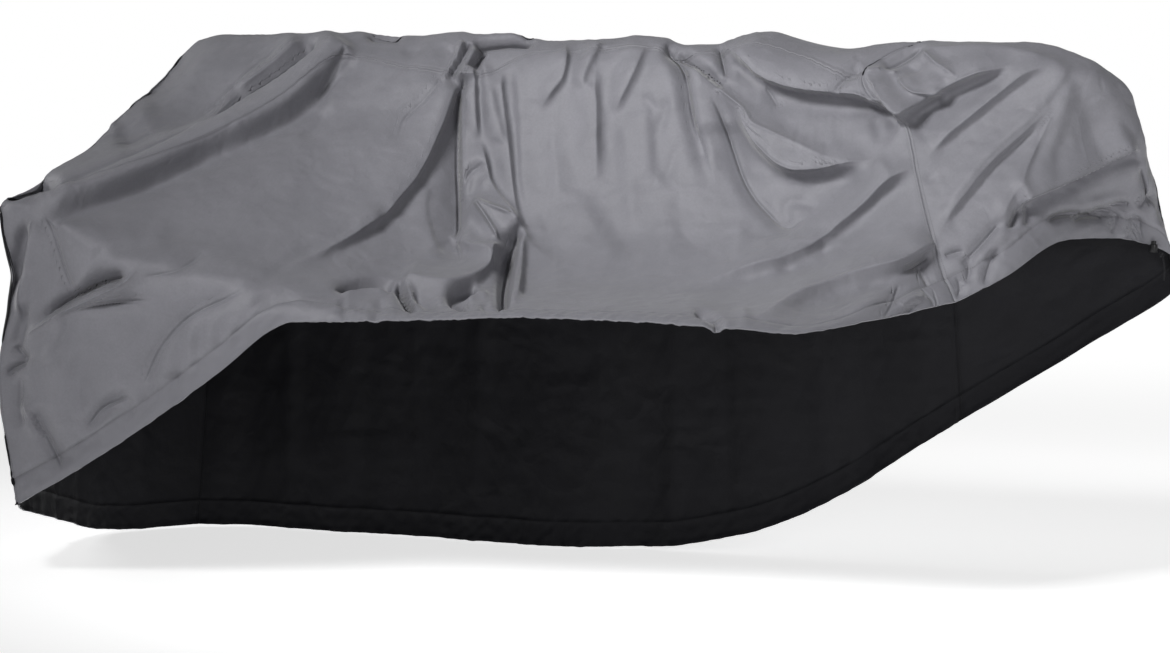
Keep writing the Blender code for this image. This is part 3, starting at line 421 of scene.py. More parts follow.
RIGHT_END_FOLDS = (
    Fold("roll", 7, 30, 24, .25, .20, ((1146, 166), (1128, 128), (1104, 92), (1078, 58))),
    Fold("edge", -5, 24, 24, .25, .25, ((1100, 160), (1092, 130), (1086, 100))),
    Fold("lap", 25, 28, 11, .08, .07, ((1018, 208), (1040, 197), (1062, 187), (1078, 179), (1100, 168),
                                       (1120, 158), (1139, 149))),
    Fold("roll", 7, 9, 24, .15, .10, ((1072, 190), (1098, 180), (1120, 172), (1144, 164))),
    Fold("edge", -6, 9, 9, .20, .20, ((1074, 192), (1080, 182), (1088, 174))),
    Fold("edge", -12, 7, 7, .20, .10, ((1011, 230), (1015, 218), (1021, 206))),
    Fold("edge", -9, 7, 7, .20, .10, ((1029, 226), (1030, 215), (1031, 204))),
    Fold("edge", -13, 7, 7, .20, .20, ((1048, 222), (1064, 214), (1084, 212))),
    Fold("edge", -20, 7, 7, .20, .20, ((1074, 222), (1086, 217), (1097, 216), (1107, 220))),
    Fold("edge", -14, 7, 7, .20, .20, ((1096, 215), (1106, 211), (1117, 214))),
    Fold("edge", -12, 6, 6, .20, .20, ((1111, 208), (1120, 205), (1130, 206))),
    Fold("edge", -12, 8, 8, .20, .20, ((1138, 210), (1148, 200), (1158, 193))),
    Fold("edge", -14, 14, 8, .20, .20, ((1158, 206), (1148, 188), (1141, 166))),
    Fold("edge", 7, 10, 10, .20, .20, ((1082, 206), (1104, 200), (1128, 196))),
    Fold("edge", -9, 7, 7, .20, .20, ((1128, 242), (1132, 229), (1134, 214))),
    Fold("edge", -9, 7, 7, .20, .20, ((1143, 244), (1140, 229), (1138, 216))),
    Fold("edge", -8, 7, 7, .20, .20, ((1111, 234), (1116, 224), (1118, 212))),
    Fold("edge", 7, 7, 7, .20, .20, ((1120, 238), (1124, 226), (1126, 213))),
    Fold("edge", -7, 7, 7, .20, .20, ((1158, 226), (1161, 213), (1160, 199))),
)
FOLDS = (UPPER_LEFT_FOLDS + LEFT_CORNER_FOLDS + LEFT_FOLDS + LEFT_HEM_PUCKERS + MIDDLE_SWAG_FOLDS
         + MIDDLE_PLEAT_FOLDS + MIDDLE_HEM_FOLDS + HANGING_FOLDS + RIGHT_SWAG_FOLDS + RIGHT_CORNER_FOLDS
         + RIGHT_END_FOLDS)


# Folds that hang straight down the back and the left end: how far along, how far out and how wide, in metres,
# the shares of the drop over which they grow, and how far they lean along on the way down.
HangingFold = namedtuple("HangingFold", "along out spread top foot lean")
BACK_FOLDS = (
    HangingFold(.12, .012, .050, .00, 1.0, .00), HangingFold(.33, -.014, .060, .00, 1.0, .00),
    HangingFold(.52, .016, .070, .00, 1.0, .00), HangingFold(.78, -.012, .050, .00, 1.0, .00),
    HangingFold(.98, .015, .060, .00, 1.0, .00), HangingFold(1.22, -.016, .080, .00, 1.0, .00),
    HangingFold(1.45, .012, .050, .00, 1.0, .00),
    HangingFold(.20, -.007, .022, .05, .40, .03), HangingFold(.42, .006, .026, .30, .90, -.04),
    HangingFold(.46, -.006, .018, .00, .25, .06), HangingFold(.63, -.008, .024, .10, .60, .02),
    HangingFold(.70, .006, .020, .40, 1.0, -.05), HangingFold(.87, -.006, .020, .00, .35, .05),
    HangingFold(.91, .005, .018, .50, 1.0, .00), HangingFold(1.07, -.007, .022, .20, .80, -.03),
    HangingFold(1.13, .006, .018, .05, .30, .04), HangingFold(1.33, -.007, .024, .00, .45, .03),
    HangingFold(1.38, .006, .020, .45, .95, .06), HangingFold(1.53, -.008, .022, .10, .50, .03),
)
LEFT_END_FOLDS = (
    HangingFold(.14, .010, .050, .00, 1.0, .00), HangingFold(.36, -.012, .060, .00, 1.0, .00),
    HangingFold(.55, .012, .050, .00, 1.0, .00),
    HangingFold(.09, -.005, .018, .10, .50, .03), HangingFold(.24, .006, .022, .30, .90, -.03),
    HangingFold(.29, -.005, .016, .00, .40, .05), HangingFold(.46, -.006, .020, .20, .70, -.02),
    HangingFold(.62, .005, .018, .10, .60, .00),
)


# ---- mesh of the panels ----
COLUMNS, DROP_ROWS, TOP_ROWS = ((320, 150, 130))
NARROWEST_SPREAD = 0.009
# an edge: how hollow its two sides are, and how much wider they are than drawn
EDGE_POWER = 2.0
EDGE_REACH = 1.6
# a lap or a roll: how steeply and how deep it drops on its right, and where it ends there, in spreads
LAP_DROP = 1.7
LAP_DEPTH = 1.7
LAP_END = 3
# how far a lap's slip dies away on its right, as a share of its spread
SLIP_SPREAD = 0.6
# where all but edges have died away, in spreads, and how round each tip is, in metres
ROUND_REACH = 3.5
TIP_ROUND = 0.004
# folds that cross don't stand out farther than this together, in metres
HIGHEST_FOLD = 0.05
# a dent moves the cloth on both sides of a corner, but not where it faces away from the sight point
DENT_FACING = -0.9
# the sharp lines along folds that rise more than the lowest, in mm: how high a line is, as a share of its fold,
# how far it reaches and its bump goes, and how far the next line has to be from it
LINE_SHARES = {"edge": 0.22, "lap": 0.08}
LINE_LOWEST = 7.5
LINE_REACH = 0.014
LINE_WIDTH = 0.008
LINE_CLEAR = 0.008
# rows beside a seam and beside a hem stand at these distances from it, and the rest are even between them
SEAM_ROWS = np.array((0, .0015, .003, .0045, .0065, .009))
HEM_ROWS = np.array((0, .0012, .003, .007, .012, .018, .024, .030, .036, .042, .0455, .0475, .049, .0505, .053,
                     .058))
TURNED_PANELS = ("top_panel", "back_panel", "left_end_panel")
# where the columns stand closer: place along the front seam, and how close they are there
ColumnPace = namedtuple("ColumnPace", "at close")
COLUMN_PACE = (
    ColumnPace(.00, 1.3), ColumnPace(.06, 1.0), ColumnPace(.38, 1.0), ColumnPace(.44, 1.7),
    ColumnPace(.58, 1.7), ColumnPace(.64, 1.0), ColumnPace(.84, 1.0), ColumnPace(.93, 1.3),
    ColumnPace(1.0, 1.5),
)
FRONT_SEAM_LENGTH = 1.80

# how high or deep the sewn detail is, how far it lies from its edge and how far it spreads, in metres
SEAM_DIP, SEAM_SPREAD = 0.0008, 0.0011
WELT_RISE, WELT_FROM_SEAM, WELT_SPREAD = 0.0003, 0.003, 0.0022
STITCH_DIP, STITCH_FROM_SEAM, STITCH_SPREAD = 0.0007, 0.0060, 0.0018
HEM_STITCH_DIP, HEM_STITCH_INSIDE, HEM_STITCH_SPREAD = 0.0011, 0.001, 0.0022
HEM_PUFF, PUFF_FROM_EDGE, PUFF_FROM_STITCH = 0.0022, .012, .016
# crumples all over the cloth, and puckers that die away up from the hem: how high they are, how many waves they
# are made of, the longest and the shortest wave, and the number that sets their order
Crumple = namedtuple("Crumple", "height waves longest shortest seed sharp")
SOFT_CRUMPLE = Crumple(0.0011, 26, 0.34, 0.12, 5, False)
SHARP_CRUMPLE = Crumple(0.0007, 34, 0.15, 0.05, 11, True)
HEM_PUCKER = Crumple(0.0011, 14, 0.060, 0.022, 23, True)
PUCKERS_UP_TO, PUCKERS_FADE = .085, .05
# how thick the cloth is, and how thick the folded hem
PANEL_CLOTH = 0.0016
HEM_CLOTH = 0.0030


def smooth_curve(knots, values, at):
    """Values at the places `at` of a curve through the knots that doesn't swing past them."""
    knots = np.asarray(knots, float)
    values = np.asarray(values, float)
    at = np.clip(np.asarray(at, float), knots[0], knots[-1])
    width = np.diff(knots).reshape((-1,) + (1,) * (values.ndim - 1))
    slope = np.diff(values, axis=0) / width
    tangent = np.zeros_like(values)
    tangent[0], tangent[-1] = slope[0], slope[-1]
    before, after = slope[:-1], slope[1:]
    weight_a = 2 * width[1:] + width[:-1]
    weight_b = width[1:] + 2 * width[:-1]
    same_way = before * after > 0
    safe_a = np.where(same_way, before, 1.0)
    safe_b = np.where(same_way, after, 1.0)
    mean = (weight_a + weight_b) / (weight_a / safe_a + weight_b / safe_b)
    tangent[1:-1] = np.where(same_way, mean, 0.0)
    piece = np.clip(np.searchsorted(knots, at, side="right") - 1, 0, len(knots) - 2)
    step = width[piece]
    u = (at - knots[piece]).reshape((-1,) + (1,) * (values.ndim - 1)) / step
    return (values[piece] * (1 + 2 * u) * (1 - u) ** 2 + tangent[piece] * step * u * (1 - u) ** 2
            + values[piece + 1] * u * u * (3 - 2 * u) + tangent[piece + 1] * step * u * u * (u - 1))


def measured_curve(points):
    """A smooth curve through the points as many samples, and the length along it at each sample."""
    chord = np.r_[0, np.cumsum(np.linalg.norm(np.diff(points, axis=0), axis=1))]
    samples = smooth_curve(chord, points, np.linspace(0, chord[-1], CURVE_SAMPLES))
    length = np.r_[0, np.cumsum(np.linalg.norm(np.diff(samples, axis=0), axis=1))]
    return samples, length


def at_lengths(samples, length, wanted):
    return np.stack([np.interp(wanted, length, column) for column in samples.T], axis=1)


def soft_step(value, low, high):
    share = np.clip((value - low) / (high - low), 0, 1)
    return share * share * (3 - 2 * share)


def swell(distance, spread):
    """A round swelling, 1 where the distance is 0."""
    return np.exp(-(distance / spread) ** 2)


def row_places(total, rows, first, last):
    """Distances from 0 to total, at the set distances beside both edges and even between them."""
    tight = min(1, 0.4 * total / max(first[-1], last[-1]))
    first, last = tight * first, tight * last
    between = np.linspace(first[-1], total - last[-1], rows + 3 - len(first) - len(last))
    return np.r_[first, between[1:-1], (total - last)[::-1]]


def column_places():
    """Places of the columns along the front seam, close together where the cloth is most folded."""
    fine = np.linspace(0, 1, CURVE_SAMPLES)
    pace = smooth_curve([row.at for row in COLUMN_PACE], [row.close for row in COLUMN_PACE], fine)
    run = np.r_[0, np.cumsum(0.5 * (pace[1:] + pace[:-1]))]
    edge = SEAM_ROWS / FRONT_SEAM_LENGTH
    middle = np.interp(np.linspace(0, 1, COLUMNS + 3 - 2 * len(edge)), run / run[-1],
                       edge[-1] + (1 - 2 * edge[-1]) * fine)
    return np.r_[edge, middle[1:-1], (1 - edge)[::-1]]


def back_points(at, ridge):
    hem = smooth_curve([row.at for row in REAR_HEM], [row[1:] for row in REAR_HEM], [at])[0]
    top = np.array((ridge[0] + 0.02 * at, BACK_TOP_DEPTH, ridge[2] - BACK_TOP_DROP))
    lean = 0.5 * (top[0] + hem[0])
    return top, np.array((lean, BACK_BELLY_DEPTH, 0.5 * (top[2] + hem[2]))), hem


def loft_column(at):
    """The front, top and back stretches of the section at one place along the front seam."""
    stations = [row.at for row in SECTIONS]
    front = smooth_curve(stations, [row[1:9] for row in SECTIONS], [at])[0]
    ridge_top = smooth_curve([row.across for row in RIDGE_TOPS], [row.up for row in RIDGE_TOPS],
                             [front[0, 0]])[0]
    front[0, 2] = ridge_top
    seam = smooth_curve(stations, [row.seam for row in SECTIONS], [at])[0]
    back_top, back_middle, back_hem = back_points(at, front[0])
    samples, length = measured_curve(np.vstack((back_hem, back_middle, back_top, front)))
    ridge_at = length[np.argmin(np.linalg.norm(samples - front[0], axis=1))]
    back_seam = length[np.argmin(np.linalg.norm(samples - back_top, axis=1))]
    front_seam = ridge_at + seam
    front_rows = front_seam + row_places(length[-1] - front_seam, DROP_ROWS, SEAM_ROWS, HEM_ROWS)
    top_rows = front_seam - row_places(front_seam - back_seam, TOP_ROWS, SEAM_ROWS, SEAM_ROWS)
    back_rows = back_seam - row_places(back_seam, DROP_ROWS, SEAM_ROWS, HEM_ROWS)
    return tuple(at_lengths(samples, length, rows) for rows in (front_rows, top_rows, back_rows))


def end_grid(table, front_edge, back_edge, top_edge):
    """An end panel from its sections, stretched so that three of its edges lie on the given ones."""
    run = np.r_[0, np.cumsum(np.linalg.norm(np.diff(top_edge, axis=0), axis=1))]
    share = run / run[-1]
    controls = smooth_curve([row.at for row in table], [row[1:] for row in table], share)
    grid = np.zeros((TOP_ROWS + 1, DROP_ROWS + 1, 3))
    for column, points in enumerate(controls):
        samples, length = measured_curve(points)
        grid[column] = at_lengths(samples, length, row_places(length[-1], DROP_ROWS, SEAM_ROWS, HEM_ROWS))
    down = np.linspace(0, 1, DROP_ROWS + 1)[None, :, None]
    across = share[:, None, None]
    grid = grid + (1 - across) * (front_edge - grid[0]) + across * (back_edge - grid[-1])
    return grid + (1 - down) ** 2 * (top_edge - grid[:, 0])[:, None, :]


def sight_axes():
    """The directions to the right, up and forward as seen from the sight point."""
    turn, dip = SIGHT_TURN, SIGHT_DIP
    forward = np.array((-math.sin(turn) * math.cos(dip), math.cos(turn) * math.cos(dip), -math.sin(dip)))
    level = np.array((math.cos(turn), math.sin(turn), 0))
    upright = np.cross(level, forward)
    right = math.cos(SIGHT_ROLL) * level + math.sin(SIGHT_ROLL) * upright
    return right, np.cross(right, forward), forward


def drawn_places(points):
    """Where the points are seen in the picture, in dots from its top left corner."""
    right, up, forward = sight_axes()
    offset = points - SIGHT_POINT
    scale = SIGHT_REACH / (offset @ forward)
    return PICTURE_MIDDLE + np.stack((scale * (offset @ right), -scale * (offset @ up)), axis=1)


def nearest_on_path(places, path):
    """How far each place is to the right of a path, its share of the path's length and the path's way there."""
    samples, length = measured_curve(np.array(path, float))
    corners = at_lengths(samples, length, np.linspace(0, length[-1], PATH_SAMPLES + 1))
    away = np.full(len(places), np.inf)
    side = np.zeros(len(places))
    share = np.zeros(len(places))
    ways = np.zeros((len(places), 2))
    for number, (here, there) in enumerate(zip(corners, corners[1:])):
        step = there - here
        reach = np.linalg.norm(step)
        way = step / reach
        offset = places - here
        along = np.clip(offset @ way, 0, reach)
        distance = np.linalg.norm(offset - along[:, None] * way, axis=1)
        nearer = distance < away
        away = np.where(nearer, distance, away)
        side = np.where(nearer, way[0] * offset[:, 1] - way[1] * offset[:, 0], side)
        share = np.where(nearer, (number + along / reach) / PATH_SAMPLES, share)
        ways[nearer] = way
    return away * np.sign(side), share, ways


def fold_profile(kind, distance, left, right):
    """How high a fold stands, of its full rise, at distances to the right of its path."""
    away = np.hypot(distance, TIP_ROUND) - TIP_ROUND
    share = np.where(distance < 0, away / left, away / right)
    if kind == "edge":
        return np.clip(1 - share, 0, 1) ** EDGE_POWER
    bulge = swell(share, 1)
    if kind in ("soft", "dent"):
        return bulge
    drop = bulge if kind == "roll" else np.exp(-LAP_DROP * share)
    return np.where(distance < 0, bulge, (LAP_DEPTH * (drop - 1) + 1) * swell(share, LAP_END))


def fold_reach(fold):
    """How far a fold spreads to its left and right, in metres, and how far away it still shows, in dots."""
    wider, dies_at = (EDGE_REACH, 1) if fold.kind == "edge" else (1, ROUND_REACH)
    left, right = (max(wider * spread / 1000, NARROWEST_SPREAD) for spread in (fold.left, fold.right))
    return left, right, dies_at * max(left, right) / DOT + 2


class SharpLines:
    """The nearest sharp line to each point, and the next one: how far the point is to their right."""

    def __init__(self, count):
        self.across = np.full(count, LINE_REACH)
        self.next = np.full(count, LINE_REACH)
        self.rise = np.zeros(count)

    def add(self, near, distance, rise, fade):
        """Takes in the line along one fold for the points near it."""
        across = self.across[near]
        nearer = (np.abs(distance) < np.abs(across)) & (fade > 0)
        other = np.where(fade > 0, np.maximum(np.abs(distance), np.abs(across)), LINE_REACH)
        self.next[near] = np.where(nearer, np.abs(across), np.minimum(self.next[near], other))
        self.across[near] = np.where(nearer, distance, across)
        beside = np.clip(1 - (distance / LINE_REACH) ** 2, 0, 1)
        self.rise[near] = np.where(nearer, rise * fade * beside, self.rise[near])

    def height(self):
        """How high the nearest line stands at each point; it dies away where the next one meets it."""
        return self.rise * soft_step(self.next - np.abs(self.across), 0, LINE_CLEAR)


def folded(points, normals, depth):
    """How far the folds move each point out and along the cloth, and how far off and how high its line is."""
    places = drawn_places(points)
    right_way, up_way, _ = sight_axes()
    sight = SIGHT_POINT - points
    facing = np.sum(normals * sight, axis=1) / np.linalg.norm(sight, axis=1)
    front_weight = depth * soft_step(facing, FACING_FROM, FACING_TO)
    heights = np.zeros(len(points))
    slips = np.zeros((len(points), 3))
    lines = SharpLines(len(points))
    for fold in FOLDS:
        left, right, reach = fold_reach(fold)
        corners = np.array(fold.path, float)
        near = np.all((places > corners.min(axis=0) - reach) & (places < corners.max(axis=0) + reach), axis=1)
        weight = depth * (facing > DENT_FACING) if fold.kind == "dent" else front_weight
        near &= weight > 0
        if not near.any():
            continue
        distance, share, ways = nearest_on_path(places[near], fold.path)
        fade = weight[near] * soft_step(share, 0, fold.start) * soft_step(1 - share, 0, fold.end)
        distance = distance * DOT
        if fold.kind == "lap":
            over = LAP_OVER * abs(fold.rise) / 1000 * fade
            distance = distance + over
            slip = over * np.where(distance < 0, swell(distance, left), swell(distance, SLIP_SPREAD * right))
            slips[near] -= (slip * ways[:, 1])[:, None] * right_way + (slip * ways[:, 0])[:, None] * up_way
        rise = fold.rise / 1000 * fade * fold_profile(fold.kind, distance, left, right)
        if fold.kind == "dent":
            slips[near] += rise[:, None] * right_way
            rise = rise * (normals[near] @ right_way)
        heights[near] += rise
        if fold.kind in LINE_SHARES and abs(fold.rise) > LINE_LOWEST:
            lines.add(near, distance, LINE_SHARES[fold.kind] * fold.rise / 1000, fade)
    heights = HIGHEST_FOLD * np.tanh(heights / HIGHEST_FOLD)
    slips -= np.sum(slips * normals, axis=1)[:, None] * normals
    return heights, slips, lines.across, lines.height()


def crumpled(points, crumple):
    """How far uneven waves move each point out; sharp ones meet in creases."""
    chance = np.random.default_rng(crumple.seed)
    total = np.zeros(len(points))
    for _ in range(crumple.waves):
        way = chance.normal(size=3)
        way /= np.linalg.norm(way)
        length = crumple.shortest * (crumple.longest / crumple.shortest) ** chance.random()
        wave = np.sin(2 * math.pi * (points @ way / length + chance.random()))
        total += 1 - 2 * np.abs(wave) if crumple.sharp else wave
    return crumple.height * total / math.sqrt(crumple.waves)


def evened(grid):
    """A grid of values with each one shared with its neighbours, and the edges only along themselves."""
    grid = grid.copy()
    for axis in (0, 1):
        turned = np.moveaxis(grid, axis, 0)
        inner = turned[1:-1]
        mean = 0.5 * inner + 0.25 * (turned[:-2] + turned[2:])
        turned[1:-1] = mean
    return grid


class Drape:
    """The whole cover as one grid of points, with the faces of each panel and its distances from the edges."""

    def __init__(self, fold_depth):
        columns = [loft_column(at) for at in column_places()]
        front, top, back = (np.array([column[part] for column in columns]) for part in range(3))
        right = end_grid(RIGHT_END, front[-1], back[-1], top[-1])
        left = end_grid(LEFT_END, front[0], back[0], top[0])
        self.points = np.zeros((0, 3))
        self.grids = {}
        self.add("front_panel", front)
        self.add("top_panel", top, upper=self.grids["front_panel"][:, 0])
        self.add("back_panel", back, upper=self.grids["top_panel"][:, -1])
        for name, grid, side in (("right_end_panel", right, -1), ("left_end_panel", left, 0)):
            self.add(name, grid, upper=self.grids["top_panel"][side], first=self.grids["front_panel"][side],
                     last=self.grids["back_panel"][side])
        self.flat = {name: self.flat_places(ids) for name, ids in self.grids.items()}
        self.hang("back_panel", BACK_FOLDS, 0, 1)
        self.hang("left_end_panel", LEFT_END_FOLDS, 1, 0)
        self.fold(fold_depth)

    def add(self, name, grid, upper=None, first=None, last=None):
        """Adds a panel's grid; upper, first and last are edges whose points another panel has already."""
        ids = np.full(grid.shape[:2], -1)
        if upper is not None:
            ids[:, 0] = upper
        if first is not None:
            ids[0], ids[-1] = first, last
        new = ids < 0
        ids[new] = len(self.points) + np.arange(new.sum())
        self.points = np.vstack((self.points, grid[new]))
        self.grids[name] = ids

    def flat_places(self, ids):
        """Lengths along and down a panel to each of its points, and what is left to its last column and row."""
        grid = self.points[ids]
        along = np.zeros(ids.shape)
        down = np.zeros(ids.shape)
        along[1:] = np.cumsum(np.linalg.norm(np.diff(grid, axis=0), axis=2), axis=0)
        down[:, 1:] = np.cumsum(np.linalg.norm(np.diff(grid, axis=1), axis=2), axis=1)
        return along, down, along[-1:] - along, down[:, -1:] - down

    def from_edges(self, name):
        """Distances of a panel's points from its nearest seam and from its hem, which the top panel has not."""
        along, down, along_left, down_left = self.flat[name]
        seam = np.minimum(down, np.minimum(along, along_left))
        if name == "top_panel":
            return np.minimum(seam, down_left), np.full(seam.shape, 1.0)
        return seam, down_left

    def hang(self, name, folds, along_axis, out_axis):
        """Folds a panel in long upright folds that grow from its top down to its hem."""
        ids = self.grids[name]
        edges = soft_step(np.linspace(0, 1, len(ids)), 0, 0.1) * soft_step(np.linspace(1, 0, len(ids)), 0, 0.1)
        down = np.linspace(0, 1, ids.shape[1])
        along = self.points[ids, along_axis]
        for fold in folds:
            grow = edges[:, None] * soft_step(down, fold.top, fold.foot)[None, :]
            middle = fold.along + fold.lean * down[None, :]
            self.points[ids, out_axis] += grow * fold.out * swell(along - middle, fold.spread)

    def fold(self, depth):
        """Moves the points out by the drawn folds, by crumples, and by the welts, stitch lines and hems."""
        normals = self.normals()
        sight = SIGHT_POINT - self.points
        sight /= np.linalg.norm(sight, axis=1, keepdims=True)
        outward = normals + np.where(np.sum(normals * sight, axis=1) > 0, SIGHT_SHARE, 0)[:, None] * sight
        outward /= np.linalg.norm(outward, axis=1, keepdims=True)
        heights, slips, self.line_across, self.line_rise = folded(self.points, normals, depth)
        for ids in self.grids.values():
            heights[ids], slips[ids] = evened(heights[ids]), evened(slips[ids])
        heights += crumpled(self.points, SOFT_CRUMPLE) + crumpled(self.points, SHARP_CRUMPLE)
        self.points += heights[:, None] * outward + slips
        normals = self.normals()
        moves = np.zeros(len(self.points))
        for name, ids in self.grids.items():
            seam, hem = self.from_edges(name)
            move = WELT_RISE * swell(seam - WELT_FROM_SEAM, WELT_SPREAD)
            move -= SEAM_DIP * swell(seam, SEAM_SPREAD)
            move -= STITCH_DIP * swell(seam - STITCH_FROM_SEAM, STITCH_SPREAD)
            move -= HEM_STITCH_DIP * swell(hem - HEM_BAND + HEM_STITCH_INSIDE, HEM_STITCH_SPREAD)
            puff = soft_step(hem, 0, PUFF_FROM_EDGE) * soft_step(HEM_BAND - hem, 0, PUFF_FROM_STITCH)
            move += HEM_PUFF * puff
            puckers = crumpled(self.points[ids].reshape(-1, 3), HEM_PUCKER).reshape(ids.shape)
            move += puckers * soft_step(PUCKERS_UP_TO - hem, 0, PUCKERS_FADE)
            moves[ids] = np.where(np.abs(move) > np.abs(moves[ids]), move, moves[ids])
        self.points += moves[:, None] * normals
        self.facing_out = self.normals()

    def faces(self, name):
        """The faces between a panel's points, with their outsides outward."""
        return grid_faces(self.grids[name], name)

    def normals(self):
        faces = np.vstack([self.faces(name) for name in self.grids])
        a, b, c, d = (self.points[faces[:, corner]] for corner in range(4))
        across = np.cross(c - a, d - b)
        normals = np.stack([sum(np.bincount(faces[:, corner], across[:, axis], len(self.points))
                                for corner in range(4)) for axis in range(3)], axis=1)
        return normals / np.linalg.norm(normals, axis=1, keepdims=True)


def grid_faces(ids, name):
    corners = (ids[:-1, :-1], ids[:-1, 1:], ids[1:, 1:], ids[1:, :-1])
    if name in TURNED_PANELS:
        corners = corners[::-1]
    return np.stack([corner.ravel() for corner in corners], axis=1)


# ---- the cloth's looks: how fine its patterns are, and how deep they go, in metres ----
BLOTCH_SCALE, DUST_SCALE, SPECK_SCALE = 3.1, 14.0, 240.0
CREASE_SCALE, FINE_CREASE_SCALE, FINE_CREASE_SHARE, CREASE_DEPTH = 11.0, 34.0, 0.35, 0.0032
FACET_DRIFT_SCALE, FACET_DRIFT, FACET_DEPTH = 5.0, 0.16, 0.0055
# the facets between straight creases: how many go in a metre, and how wide and how deep their creases are
Facets = namedtuple("Facets", "scale width share")
FACETS = (Facets(7.0, 0.26, 1.0), Facets(17.0, 0.26, 0.40))
WEAVE_DEPTH, THREAD_HEIGHT = 0.00012, 0.0005
STITCH_LENGTH, STITCH_WIDTH = 0.0042, 0.0007


def sheet_mesh(name, drape):
    """Points, faces and each face's side (0 outside, 1 inside) of a panel as a thin closed sheet."""
    ids = drape.grids[name]
    _, hem = drape.from_edges(name)
    outer = drape.points[ids]
    thickness = PANEL_CLOTH + (HEM_CLOTH - PANEL_CLOTH) * soft_step(HEM_BAND + .002 - hem, 0, .004)
    inner = outer - drape.facing_out[ids] * thickness[:, :, None]
    local = np.arange(ids.size).reshape(ids.shape)
    skin = grid_faces(local, name)
    rim = np.r_[local[:-1, 0], local[-1, :-1], local[:0:-1, -1], local[0, :0:-1]]
    after = np.roll(rim, -1)
    sides = np.stack((rim, after, after + ids.size, rim + ids.size), axis=1)
    if name in TURNED_PANELS:
        sides = sides[:, ::-1]
    points = np.vstack((outer.reshape(-1, 3), inner.reshape(-1, 3)))
    faces = np.vstack((skin, sides, ids.size + skin[:, ::-1]))
    side = np.r_[np.zeros(len(skin) + len(sides), int), np.ones(len(skin), int)]
    return points, faces, side


def sheet_object(name, drape, outside, inside):
    """A panel's sheet with the distances that its weave, stitches and hem follow."""
    points, faces, side = sheet_mesh(name, drape)
    mesh = bpy.data.meshes.new(name)
    mesh.vertices.add(len(points))
    mesh.vertices.foreach_set("co", (points - ORIGIN).astype(np.float32).ravel())
    mesh.loops.add(faces.size)
    mesh.loops.foreach_set("vertex_index", faces.astype(np.int32).ravel())
    mesh.polygons.add(len(faces))
    mesh.polygons.foreach_set("loop_start", np.arange(0, faces.size, 4, dtype=np.int32))
    mesh.polygons.foreach_set("material_index", side.astype(np.int32))
    mesh.update(calc_edges=True)
    mesh.validate()
    mesh.materials.append(outside)
    mesh.materials.append(inside)
    along, down = drape.flat[name][:2]
    seam, hem = drape.from_edges(name)
    layer = mesh.uv_layers.new(name="cloth")
    flat = np.tile(np.stack((along.ravel(), down.ravel()), axis=1), (2, 1))
    layer.uv.foreach_set("vector", flat[faces.ravel()].astype(np.float32).ravel())
    ids = drape.grids[name]
    for label, values in (("from_seam", seam), ("from_hem", hem), ("line_across", drape.line_across[ids]),
                          ("line_rise", drape.line_rise[ids])):
        attribute = mesh.attributes.new(label, "FLOAT", "POINT")
        attribute.data.foreach_set("value", np.tile(values.ravel(), 2).astype(np.float32))
    mesh.shade_smooth()
    thing = bpy.data.objects.new("cloth_" + name, mesh)
    bpy.context.scene.collection.objects.link(thing)
    return thing


class Value:
    """A node's output that can be used in sums: each sign adds its Math node."""

    def __init__(self, finish, socket):
        self.finish = finish
        self.socket = socket

    def maths(self, operation, *values):
        return self.finish.node("ShaderNodeMath", {"operation": operation}, dict(enumerate(values)))

    def __add__(self, other):
        return self.maths("ADD", self, other)

    def __radd__(self, other):
        return self.maths("ADD", other, self)

    def __sub__(self, other):
        return self.maths("SUBTRACT", self, other)

    def __rsub__(self, other):
        return self.maths("SUBTRACT", other, self)

    def __mul__(self, other):
        return self.maths("MULTIPLY", self, other)

    def __rmul__(self, other):
        return self.maths("MULTIPLY", other, self)

    def __abs__(self):
        return self.maths("ABSOLUTE", self)

    def sine(self):
        return self.maths("SINE", self)

    def root(self):
        return self.maths("SQRT", self)

    def or_more(self, other):
        return self.maths("MAXIMUM", self, other)


